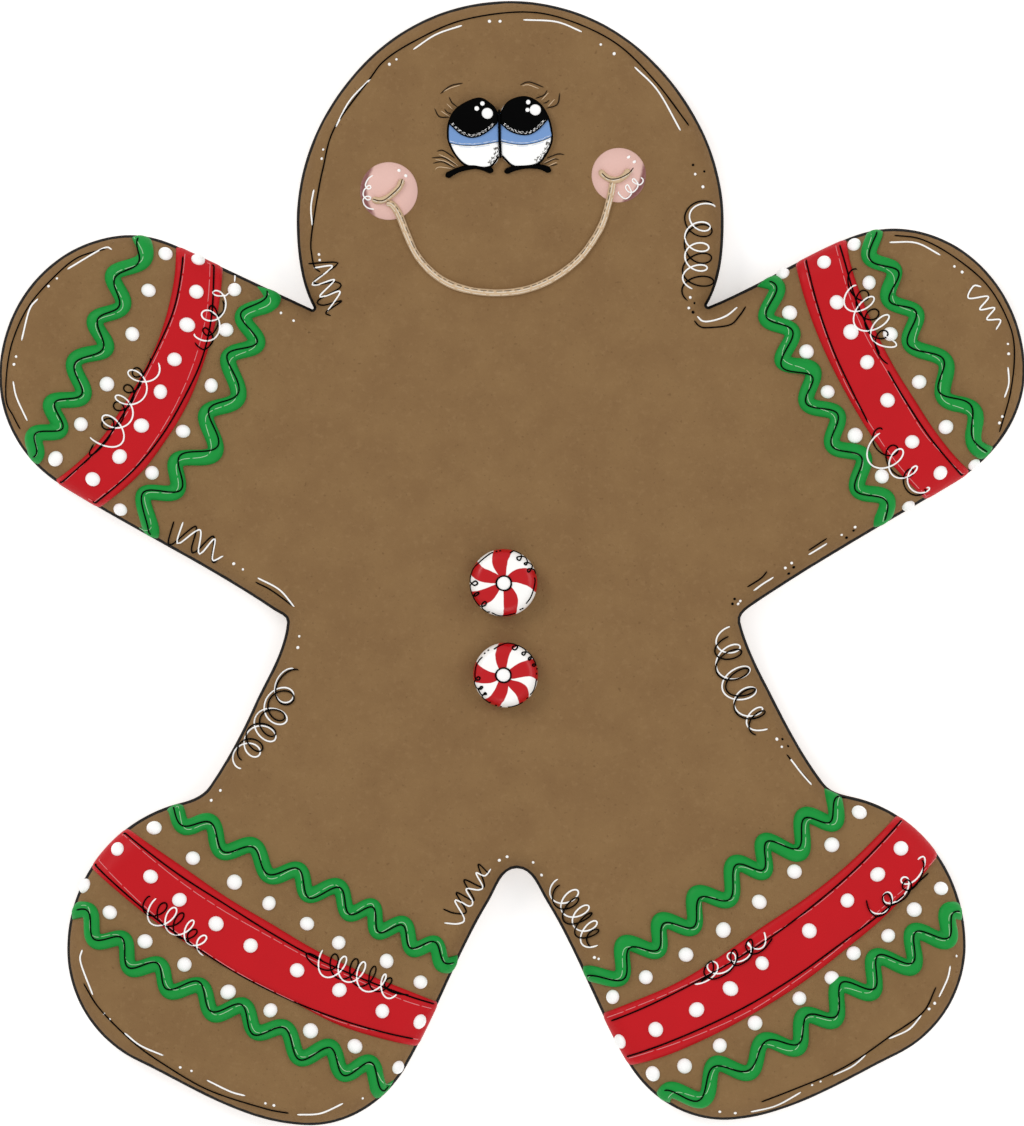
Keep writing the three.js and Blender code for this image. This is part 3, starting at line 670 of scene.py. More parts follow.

# green waves: each path swings about its line by what three rows of values give at even steps: how far aside,
# how wide the swing, and how far the beat runs ahead. The bead has one path, the fine lines on it two more:
# the dark line and the pale line, which is a painted highlight
zigzags = {
    "halfWidth": 1.15,
    "height": 0.95,
    "endRise": 0.4,
    "sink": 0.06,
    "margin": 0.42,
    "overrun": 0.08,
    "endEdge": 0.5,
    "roundness": 0.9,
    "beat": (2.3, 0.09),
    "skirt": 0.5,
    "stepsPerWave": 30,
    "acrossSteps": 16,
    "ridgeSteps": 6,
    "ridgeOverrun": 0.06,
    "capSteps": 16,
    "borderSteps": 600,
    "borderOverrun": 0.12,
    "seek": (0.07, 0.1),
    "rows": [
        {"name": "zigzag_arm_left_outer", "line": [(-68.4, 14.7), (-58.6, 30.2), (-53, 45.4)], "waves": 5.16,
         "bead": ([0.47, 0.12, -0.1, -0.22, -0.07, 0, 0.27, 0.08, -0.6],
                  [0.65, 1.49, 1.69, 1.63, 1.49, 1.53, 1.12],
                  [-2.48, -0.77, 0.4, 0.51, -0.12, 0.27, -0.06, -0.47, -1.19]),
         "dark": ([0.66, -0.06, -0.35, -0.09, -0.05, 0, 0.34, 0.15, -0.47],
                  [0.77, 1.44, 1.41, 1.28, 1.13, 1.02, 0.84],
                  [-2.46, -1.16, 0.02, 0.53, 0.19, 0.02, 0.22, 0, 0.07]),
         "pale": ([0.35, 0.1, -0.27, -0.4, -0.18, -0.16, 0.03, 0.14, 0.06],
                  [0.64, 1.27, 1.54, 1.4, 1.33, 1.44, 1.45],
                  [-2.65, -1.03, 0.35, 0.57, 0.35, 0.5, 0.21, -0.32, -0.98])},
        {"name": "zigzag_arm_left_inner", "line": [(-53, 6), (-40.4, 18.3), (-35.5, 38.3)], "waves": 4.88,
         "bead": ([-0.31, 0.37, 0.08, -0.65, -0.45, 0.03, 0.28, 0.21, -0.07],
                  [2.29, 1.44, 1.65, 1.81, 1.55, 1.61, 1.65],
                  [4.94, 4.98, 5.32, 5.25, 4.83, 4.51, 3.99, 4.99, 5.95]),
         "dark": ([-0.16, 0.27, 0.09, -0.54, -0.46, 0.17, 0.45, 0.48, 0.68],
                  [2.6, 1.81, 1.71, 1.7, 1.59, 1.75, 1.42],
                  [5.47, 4.73, 4.69, 4.39, 4.21, 4.05, 3.75, 4.8, 5.55]),
         "pale": ([0.03, 0.31, 0.01, -0.42, -0.23, -0.01, 0.17, 0.11, -0.07],
                  [2.06, 1.34, 1.35, 1.5, 1.3, 1.35, 1.49],
                  [4.29, 4.86, 5.32, 5.48, 5.01, 4.6, 4.36, 5.12, 6.39])},
        {"name": "zigzag_arm_right_inner", "line": [(53.6, 6.1), (42.2, 23.6), (35.7, 39.1)], "waves": 5.52,
         "bead": ([0.19, 0.04, -0.19, -0.09, 0.11, 0.21, 0.33, 0.02, -0.63],
                  [1.35, 1.49, 1.43, 1.41, 1.58, 1.38, 1.3],
                  [2.12, 2.64, 2.75, 2.76, 2.74, 2.45, 2.66, 2.45, 2.21]),
         "dark": ([0.27, 0.36, 0.16, -0.11, 0.22, 0.78, 0.47, -0.11, -0.5],
                  [1.33, 1.5, 1.51, 1.41, 1.64, 1.5, 1.28],
                  [2.63, 2.65, 2.75, 2.69, 2.74, 3.2, 2.74, 2.27, 1.98]),
         "pale": ([0.21, 0.04, -0.07, 0.13, 0.21, 0.41, 0.47, 0.16, -0.15],
                  [1.17, 1.31, 1.19, 0.99, 1.17, 1.2, 1.23],
                  [2.16, 2.75, 2.86, 2.8, 2.76, 2.51, 2.17, 1.95, 2.01])},
        {"name": "zigzag_arm_right_outer", "line": [(67.7, 16), (56.2, 33.2), (51, 45.8)], "waves": 4.44,
         "bead": ([0.05, 0.03, -0.08, -0.07, 0.06, 0.07, -0.04, -0.01, 0.07],
                  [1.15, 1.32, 1.41, 1.47, 1.24, 1.19, 1.05],
                  [0.44, 0.66, 0.98, 0.87, 0.36, 0.69, 0.61, 0.81, 0.8]),
         "dark": ([0.29, -0.01, -0.06, 0.19, 0.37, 0.07, -0.29, -0.19, 0.04],
                  [0.7, 1.28, 1.6, 1.52, 1.46, 1.41, 1.33],
                  [0.06, 0.11, 0.23, 0.54, 0.3, 0.6, 1.05, 1.26, 0.76]),
         "pale": ([0.16, 0.39, 0.46, 0.2, -0.13, -0.27, -0.08, 0.31, 0.7],
                  [0.82, 1.1, 1.1, 1.16, 0.96, 0.88, 1.04],
                  [0.62, 0.81, 0.94, 0.76, 0.85, 1.16, 1.24, 1.08, 0.9])},
        {"name": "zigzag_leg_left_upper", "line": [(-8.8, -56.3), (-26.2, -46.9), (-49.3, -35)], "waves": 7.5,
         "bead": ([0.33, -0.06, 0.03, -0.32, -0.17, 0.31, 0.03, -0.01, -0.46],
                  [0.77, 1.31, 1.25, 1.44, 1.19, 1.54, 0.71],
                  [0.85, 1.61, 1.56, 2.7, 2.36, 2.49, 1.71, 1.26, 1.87]),
         "dark": ([-0.23, -0.03, 0.12, -0.32, 0.07, 0.14, 0.21, -0.06, -0.66],
                  [0.95, 1.22, 1.28, 1.58, 1.21, 1.34, 1.13],
                  [1.18, 1.17, 1.77, 2.85, 2.67, 2.21, 1.72, 1.38, 1.06]),
         "pale": ([-0.25, -0.22, 0.02, -0.37, 0.05, 0.44, 0.17, 0.3, -0.82],
                  [0.93, 1.45, 1.55, 1.59, 1.41, 1.53, 0.74],
                  [1.44, 1.57, 1.45, 2.4, 2.14, 2.48, 1.83, 1.5, 2.49])},
        {"name": "zigzag_leg_left_lower", "line": [(-16.2, -73.7), (-43.5, -64.4), (-61.7, -50)],
         "waves": 7.8,
         "bead": ([1.06, -0.04, 0.36, -0.38, -0.12, 0.16, 0.42, 0.07, -0.22],
                  [1.44, 1.55, 1.27, 1.45, 1.29, 1.32, 1.3],
                  [-0.12, 1.16, 1.68, 1.55, 1.62, 1.17, 1.12, 1.01, 0.62]),
         "dark": ([0.36, 0.11, 0.43, -0.03, -0.31, -0.18, 0.51, -0.01, -0.1],
                  [1.53, 1.57, 1.49, 1.44, 1.46, 1.3, 1.33],
                  [-0.18, 1.31, 1.74, 1.31, 1.22, 0.76, 0.63, 0.72, 0.38]),
         "pale": ([-0.03, -0.16, 0.22, -0.45, -0.13, -0.12, 0.11, -0.13, -0.58],
                  [0.83, 1.21, 1.32, 1.45, 1.23, 1.17, 1.33],
                  [0, 1.34, 1.76, 1.54, 1.68, 1.19, 0.65, 0.31, 0.08])},
        {"name": "zigzag_leg_right_upper", "line": [(11.4, -60.3), (27.5, -47.2), (47.2, -34)], "waves": 7.13,
         "bead": ([0.31, 0.41, 0.1, -0.32, -0.22, 0.13, 0.01, -0.46, 1.43],
                  [1.83, 1.78, 1.65, 1.82, 1.7, 2.17, 1.94],
                  [1.37, 0.17, -0.23, -0.08, -0.37, -0.86, 0.33, 0.04, 0.16]),
         "dark": ([-0.07, -0.29, -0.21, -0.61, -0.63, 0.08, 0.11, -0.13, 0.37],
                  [1.88, 1.4, 1.36, 1.47, 1.46, 1.59, 0.86],
                  [1.3, -0.09, -0.3, -0.23, -0.42, -0.91, 0, 0.11, 1.31]),
         "pale": ([0.17, 0.11, -0.43, -0.98, -0.91, -0.38, -0.25, -0.72, 0.02],
                  [1.37, 1.57, 1.44, 1.41, 1.46, 1.62, 1.09],
                  [1.12, 0.4, -0.25, -0.33, -0.76, -0.89, -0.34, -0.19, 0.61])},
        {"name": "zigzag_leg_right_lower", "line": [(22, -76.7), (42.6, -66.9), (63.7, -49.1)], "waves": 7.28,
         "bead": ([-0.07, -0.02, 0.19, -0.5, -0.28, 0.28, 0.22, -0.3, -0.69],
                  [1.63, 1.73, 1.7, 1.59, 1.87, 2.13, 1.45],
                  [0.75, -0.3, -1.01, -1.93, -1.75, -1.4, -0.96, -0.35, 1.46]),
         "dark": ([-0.13, 0.08, 0.19, -0.34, -0.26, 0.46, 0.37, -0.16, -1.17],
                  [1.94, 1.47, 1.37, 1.3, 1.75, 1.77, 1.2],
                  [1.2, 0.13, -0.96, -2.27, -2.16, -1.91, -1.44, -0.62, 0.85]),
         "pale": ([-0.28, -0.04, -0.02, -0.74, -0.5, 0.01, 0.39, -0.23, -1.19],
                  [1.12, 1.32, 1.42, 1.28, 1.55, 1.84, 1.29],
                  [0.44, -0.37, -1.06, -1.47, -1.92, -1.34, -0.89, -0.26, 1.28])},
    ],
}  # fmt: skip


def swingAt(row, path, t):
    aside, swing, beat = row[path]
    angle = alongValues(beat, t) + 2 * math.pi * row["waves"] * t
    return alongValues(aside, t) + alongValues(swing, t) * math.sin(angle)


def onWave(row, curve, path, t):
    return curve.at(t) + curve.left(t) * swingAt(row, path, t)


def waveBorders(row, curve, t):
    # how far the bead of a piped wave reaches to each side of its line at t
    right, left = math.inf, -math.inf
    half, steps = zigzags["halfWidth"], zigzags["capSteps"]
    for i in range(2 * steps + 1):
        offset = half / curve.length * (i / steps - 1)
        bulge = math.sqrt(max(half**2 - (offset * curve.length) ** 2, 0))
        centre = swingAt(row, "bead", t + offset)
        right, left = min(right, centre - bulge), max(left, centre + bulge)
    return right, left


def zigzagReach(curve):
    # the part of the line that lies on the biscuit
    overrun = zigzags["overrun"]
    start = crossing(curve.at, -overrun, 0.5, zigzags["margin"])
    end = crossing(curve.at, 1 + overrun, 0.5, zigzags["margin"])
    return start, end


def makeZigzag(row):
    curve = Arc(row["line"])
    start, end = zigzagReach(curve)
    steps = round(row["waves"] * zigzags["stepsPerWave"])
    count, overrun = steps * zigzags["ridgeSteps"], zigzags["ridgeOverrun"]
    ridge = kdtree.KDTree(count)
    for i in range(count):
        t = start - overrun + (end - start + 2 * overrun) * i / (count - 1)
        ridge.insert(onWave(row, curve, "bead", t).to_3d(), i)
    ridge.balance()
    before, parts = zigzags["borderOverrun"], zigzags["borderSteps"]
    whole = 1 + 2 * before
    borders = [waveBorders(row, curve, whole * i / parts - before) for i in range(parts + 1)]

    def placeAt(t, share):
        x = min(max((t + before) / whole, 0), 0.9999) * parts
        (a, b), (c, d) = borders[int(x):int(x) + 2]
        right, left = a + (c - a) * (x % 1), b + (d - b) * (x % 1)
        return curve.at(t) + curve.left(t) * (right + (left - right) * share)

    bm = bmesh.new()
    half, margin = zigzags["halfWidth"], zigzags["margin"]
    outwards, inwards = zigzags["seek"]
    beatLength, beat = zigzags["beat"]
    for share, verts in gridColumns(bm, steps, zigzags["acrossSteps"]):
        first = crossing(lambda t: placeAt(t, share), start - outwards, start + inwards, margin)
        last = crossing(lambda t: placeAt(t, share), end + outwards, end - inwards, margin)
        for vert in verts:
            t = first + (last - first) * (vert.co.x / 2 + 0.5)
            toEnd = roundedRise(min(t - first, last - t) * curve.length, zigzags["endEdge"])
            place = placeAt(t, share)
            away = ridge.find(place.to_3d())[2]
            rise = math.sqrt(max(1 - (away / half) ** 2, 0)) ** zigzags["roundness"]
            rise *= zigzags["endRise"] + (1 - zigzags["endRise"]) * toEnd
            rise *= 1 + beat * noise.noise(Vector((place.x / beatLength, place.y / beatLength, 4)))
            base = restOn(bodyTree, place, margin)
            vert.co = base + surfaceNormal(base) * (rise * zigzags["height"] - zigzags["sink"])
    closeUnder(bm, zigzags["skirt"])
    return bm


for row in zigzags["rows"]:
    finishPiece("piped_" + row["name"], makeZigzag(row), paints["green"], [row["name"]])
print("zigzags")

dots = {
    "radius": 1.05,
    "height": 0.7,
    "margin": 0.55,
    "sizes": (0.93, 1.05),
    "stretch": 0.06,
    "rows": [
        {"spots": [(-49.2, 43.9), (-51.6, 38.7), (-53.9, 32.5), (-57.5, 25.4), (-61.2, 19.7), (-64.8, 14.8)]},
        {"spots": [(-44.5, 43.2), (-44.8, 38.5), (-46.1, 33.8), (-47.9, 28.9), (-49.9, 24.3), (-52.6, 19.5),
                   (-55.7, 15.1), (-59.5, 11.9)], "on": "band_arm_left"},
        {"spots": [(-39.4, 38.8), (-40.6, 33.1), (-42.7, 25.2), (-46.7, 18.7), (-51.1, 12.8), (-55.6, 7.6)]},
        {"spots": [(38.4, 41.2), (39.4, 35.5), (41.8, 30.0), (44.8, 24.3), (48.7, 18.1), (52.5, 12.3),
                   (56.3, 8.1)]},
        {"spots": [(44.3, 42.7), (46.1, 37.0), (48.1, 32.8), (50.4, 28.5), (53.3, 23.1), (56.8, 17.2),
                   (60.8, 12.8)], "on": "band_arm_right"},
        {"spots": [(48.6, 45.2), (50.7, 39.8), (53.7, 32.5), (57.8, 25.7), (61.6, 19.3), (65.8, 13.8)]},
        {"spots": [(-50.8, -37.6), (-45.3, -41.9), (-39.4, -45.3), (-34.5, -48.3), (-29.1, -51.2),
                   (-24.6, -53.9), (-17.8, -56.5), (-13.0, -59.5)]},
        {"spots": [(-56.0, -40.6), (-51.3, -44.5), (-47.2, -47.8), (-42.0, -51.2), (-37.1, -54.3),
                   (-30.5, -57.8), (-24.5, -60.6), (-18.4, -63.6), (-13.1, -65.1)], "on": "band_leg_left"},
        {"spots": [(-60.8, -45.8), (-57.1, -49.6), (-52.1, -53.7), (-46.5, -57.0), (-40.3, -60.9),
                   (-34.3, -63.5), (-28.6, -66.4), (-22.3, -68.6), (-16.2, -71.6)]},
        {"spots": [(14.3, -61.6), (19.0, -58.8), (24.7, -55.6), (30.0, -52.1), (35.1, -48.1), (40.1, -43.8),
                   (45.4, -40.0), (49.3, -35.4)]},
        {"spots": [(14.8, -68.2), (20.4, -66.2), (26.2, -63.4), (31.0, -60.4), (35.5, -56.8), (42.2, -52.2),
                   (47.6, -47.9), (51.9, -44.2), (55.2, -40.5)], "on": "band_leg_right"},
        {"spots": [(20.0, -72.5), (24.5, -71.4), (29.5, -68.5), (34.5, -65.3), (40.8, -61.8), (45.4, -58.9),
                   (48.5, -55.4), (53.4, -52.9), (57.1, -49.2), (60.9, -46.2)]},
    ],
}  # fmt: skip


def makeBall(bm, size):
    made = bmesh.ops.create_uvsphere(bm, u_segments=20, v_segments=12, radius=1)["verts"]
    bmesh.ops.scale(bm, vec=size, verts=made)
    return made


def addDot(bm, base, normal, radius, height):
    # a soft blob, a little out of round, flattened on to its bed
    stretch = 1 + random.uniform(-dots["stretch"], dots["stretch"])
    made = makeBall(bm, (radius * stretch, radius / stretch, height))
    turn = Matrix.Rotation(random.uniform(0, math.pi), 3, "Z")
    bmesh.ops.rotate(bm, cent=(0, 0, 0), matrix=turn, verts=made)
    tilt = up.rotation_difference(normal).to_matrix()
    bmesh.ops.rotate(bm, cent=(0, 0, 0), matrix=tilt, verts=made)
    bmesh.ops.translate(bm, vec=base, verts=made)


def makeDots(rows):
    bm = bmesh.new()
    for row in rows:
        tree = bandTrees[row["on"]] if "on" in row else bodyTree
        for spot in row["spots"]:
            base = restOn(tree, spot, dots["margin"])
            radius = dots["radius"] * random.uniform(*dots["sizes"])
            addDot(bm, base, surfaceNormal(base), radius, dots["height"])
    return bm


for carrier in [None, *[row["name"] for row in bands["rows"]]]:
    rows = [row for row in dots["rows"] if row.get("on") == carrier]
    name = "dots_on_" + (carrier or "biscuit")
    finishPiece(name, makeDots(rows), paints["white"], [carrier or "cookie"])
print("dots")

# eyes: flooded layers, then for each side its rim, the lines that shut off iris and pupil, shading, glints
# and lid
eyes = {
    "edgeSteps": 5,
    "shoulder": 0.75,
    "lineGap": 0.08,
    "lineClear": 0.05,
    "cornerGap": 0.2,
    "glintLevel": 8.82,
    "glintHeight": 0.4,
    "layers": {
        "white": {"base": 7.4, "top": 8.15, "edge": 0.45, "shrink": 1.0,
                  "paint": "eyeWhite", "slot": "icing_white"},
        "iris": {"base": 7.9, "top": 8.42, "edge": 0.3, "shrink": 0.99,
                 "paint": "blue", "slot": "icing_blue"},
        "pupil": {"base": 8.2, "top": 8.85, "edge": 0.45, "shrink": 0.98,
                  "paint": "black", "slot": "icing_black"},
    },
    "left": {
        "rim": [(-1.83, 57.6), (-1.8, 59.9), (-1.84, 62.2), (-1.95, 63.8), (-2.92, 65.12), (-4.81, 66.02),
                (-7.71, 64.69), (-8.94, 62.8), (-9.19, 60.77), (-8.87, 59.32), (-8.0, 57.73), (-6.7, 56.45),
                (-4.95, 56.02), (-3.0, 56.2)],
        "iris": [(-9.0, 59.68), (-7.63, 59.38), (-5.9, 59.27), (-4.4, 59.38), (-3.1, 59.6), (-1.9, 59.81)],
        "pupil": [(-9.0, 62.35), (-7.63, 61.05), (-6.77, 60.57), (-5.9, 60.32), (-4.93, 60.42),
                  (-3.97, 60.83), (-3.0, 61.5), (-1.9, 62.6)],
        "shade": [(-2.35, 59.0), (-2.19, 58.36), (-2.46, 57.71), (-2.89, 57.07), (-3.32, 56.6)],
        "glints": [(-3.5, 63.8, 0.8), (-5.0, 64.5, 0.34), (-4.2, 65.2, 0.32)],
        "lid": [(-9.3, 54.93), (-7.63, 55.79), (-5.9, 56.22), (-4.93, 56.27), (-3.75, 55.99), (-2.8, 55.64)],
    },
    "right": {
        "rim": [(-1.45, 57.7), (-1.68, 59.2), (-1.73, 61.5), (-1.68, 63.9), (-0.46, 65.56), (1.8, 66.24),
                (3.89, 65.27), (5.27, 63.09), (5.75, 60.77), (5.56, 59.32), (4.76, 57.73), (3.7, 56.6),
                (1.86, 56.16), (0.05, 56.3)],
        "iris": [(-1.6, 59.87), (-0.2, 59.56), (1.42, 59.4), (2.82, 59.56), (4.0, 59.87), (4.97, 60.24),
                 (5.6, 60.55)],
        "pupil": [(-1.6, 62.3), (-0.63, 61.43), (0.45, 60.92), (1.74, 60.69), (2.82, 60.89), (3.9, 61.59),
                  (4.76, 62.5), (5.35, 63.15)],
        "shade": [(5.19, 59.76), (4.81, 58.57), (4.43, 57.93), (3.79, 57.39), (3.25, 56.96)],
        "glints": [(3.3, 64.3, 0.8), (2.2, 64.3, 0.3), (2.3, 65.4, 0.33)],
        "lid": [(-0.95, 55.5), (0.23, 56.01), (1.85, 56.32), (3.36, 56.33), (4.54, 56.08), (5.4, 55.65)],
    },
}  # fmt: skip


def within(loop, line, gap):
    # the points of a line that lie inside a round loop by at least a gap
    middle = sum(loop, Vector((0, 0))) / len(loop)
    kept = []
    for point in line:
        near = min(loop, key=lambda place: (place - point).length)
        if (point - middle).length < (near - middle).length - gap:
            kept.append(point)
    return kept


def partAbove(loop, line):
    # the part of a loop that lies above a line from left to right, closed by that line
    def level(x):
        x = min(max(x, line[0].x), line[-1].x)
        a, b = next(pair for pair in zip(line, line[1:]) if pair[0].x <= x <= pair[1].x)
        return a.y + (b.y - a.y) * (x - a.x) / (b.x - a.x)

    over = [point.y > level(point.x) + eyes["lineClear"] for point in loop]
    first = next(i for i in range(len(loop)) if over[i] and not over[i - 1])
    turned = loop[first:] + loop[:first]
    part = turned[:(over[first:] + over[:first]).index(False)]
    start, end = part[0], part[-1]
    line = [point for point in line if min((point - start).length, (point - end).length) > eyes["cornerGap"]]
    return part + (line if (end - line[0]).length < (end - line[-1]).length else line[::-1])


def makePool(loop, base, top, edge):
    # icing flooded inside a loop: an upright side, then a soft shoulder up to a level top
    bm = bmesh.new()
    face = bm.faces.new([bm.verts.new((point.x, point.y, base)) for point in loop])
    shoulder = eyes["shoulder"] * edge
    lid = raised(bm, face, top - base - shoulder)
    bmesh.ops.recalc_face_normals(bm, faces=bm.faces)
    roundOff(bm, lid, edge, shoulder, eyes["edgeSteps"])
    return bm


for side in ("left", "right"):
    for layer, shape in eyes["layers"].items():
        rim = throughPoints(eyes[side]["rim"], 0.3, True)
        middle = sum(rim, Vector((0, 0))) / len(rim)
        loop = [middle.lerp(point, shape["shrink"]) for point in rim]
        if layer != "white":
            loop = partAbove(loop, within(loop, throughPoints(eyes[side][layer], 0.2), eyes["lineGap"]))
        bm = makePool(loop, shape["base"], shape["top"], shape["edge"])
        node = ("eye_white_" if layer == "white" else layer + "_") + side
        finishPiece("flooded_" + node, bm, paints[shape["paint"]], [node])
    bm = bmesh.new()
    for x, y, radius in eyes[side]["glints"]:
        addDot(bm, Vector((x, y, eyes["glintLevel"])), up, radius, radius * eyes["glintHeight"])
    finishPiece("glints_" + side, bm, paints["white"], ["pupil_" + side])
print("eyes")

# cheeks: each has the middle of its shadow round the edge and how far that reaches to both sides, in degrees
cheeks = {
    "height": 1.0,
    "base": 7.3,
    "level": 7.65,
    "profileSteps": 16,
    "turnSteps": 96,
    "shadowWidth": 0.32,
    "shadowBlend": 0.15,
    "rim": 0.1,
    "rimLight": 0.25,
    "pinks": ((221, 180, 169), (227, 187, 177)),
    "shade": (134, 84, 82),
    "roughness": 0.55,
    "left": {"at": (-17.49, 52.8), "radius": 4.1, "shadow": (183, 64)},
    "right": {"at": (15.17, 55.05), "radius": 3.87, "shadow": (-29, 58)},
}


def turnedBody(profile, steps):
    # a closed body of revolution from points of radius and height
    bm = bmesh.new()
    verts = [bm.verts.new((radius, 0, height)) for radius, height in profile]
    edges = [bm.edges.new(pair) for pair in zip(verts, verts[1:])]
    bmesh.ops.spin(
        bm, geom=[*verts, *edges], cent=(0, 0, 0), axis=(0, 0, 1), dvec=(0, 0, 0), angle=2 * math.pi,
        steps=steps, use_merge=True,
    )  # fmt: skip
    bmesh.ops.remove_doubles(bm, verts=bm.verts, dist=0.001)
    bmesh.ops.holes_fill(bm, edges=[edge for edge in bm.edges if edge.is_boundary], sides=0)
    bmesh.ops.recalc_face_normals(bm, faces=bm.faces)
    return bm


def makeCheek(cheek):
    # a low round pool; its "shadow" is the strip of darker pink along one side of its edge
    steps = cheeks["profileSteps"]
    profile = [(cheek["radius"], cheeks["base"])]
    for i in range(steps + 1):
        share = math.sqrt(1 - i / steps)
        profile.append((cheek["radius"] * share, cheeks["level"] + cheeks["height"] * (1 - share**3)))
    bm = turnedBody(profile, cheeks["turnSteps"])
    shadowLayer = bm.verts.layers.float.new("shadow")
    middle, reach = cheek["shadow"]
    rim = cheeks["rim"]
    for vert in bm.verts:
        out = vert.co.to_2d().length / cheek["radius"]
        turned = (math.degrees(math.atan2(vert.co.y, vert.co.x)) - middle + 180) % 360 - 180
        width = cheeks["shadowWidth"] * math.cos(min(abs(turned) / reach, 1) * math.pi / 2) ** 0.5
        inner = clamped((out - 1 + width) / cheeks["shadowBlend"]) if width > 0.01 else 0
        vert[shadowLayer] = inner * (1 - cheeks["rimLight"] * clamped((out - 1 + rim) / rim))
    bmesh.ops.translate(bm, vec=(*cheek["at"], 0), verts=bm.verts)
    return bm


def cheekIcing():
    recipe = Recipe("cheek_icing", cheeks["roughness"], 0.25)
    first, second = cheeks["pinks"]
    shade = recipe.tint(recipe.noise(skin["patch"]), colour(*first), colour(*second))
    grain = (recipe.noise(0.5, 3.0, 0.7) - 0.5) * 0.5
    shadow = recipe.mask(recipe.attribute("shadow") + grain, 0.1, 1.0)
    recipe.paint("Base Color", recipe.tint(shadow, shade, colour(*cheeks["shade"])))
    driedSkin(recipe, cheeks["roughness"])
    return recipe.material


paints["cheek"] = cheekIcing()
for side in ("left", "right"):
    bm = makeCheek(cheeks[side])
    finishPiece("flooded_cheek_" + side, bm, paints["cheek"], ["cheek_" + side])
print("cheeks")

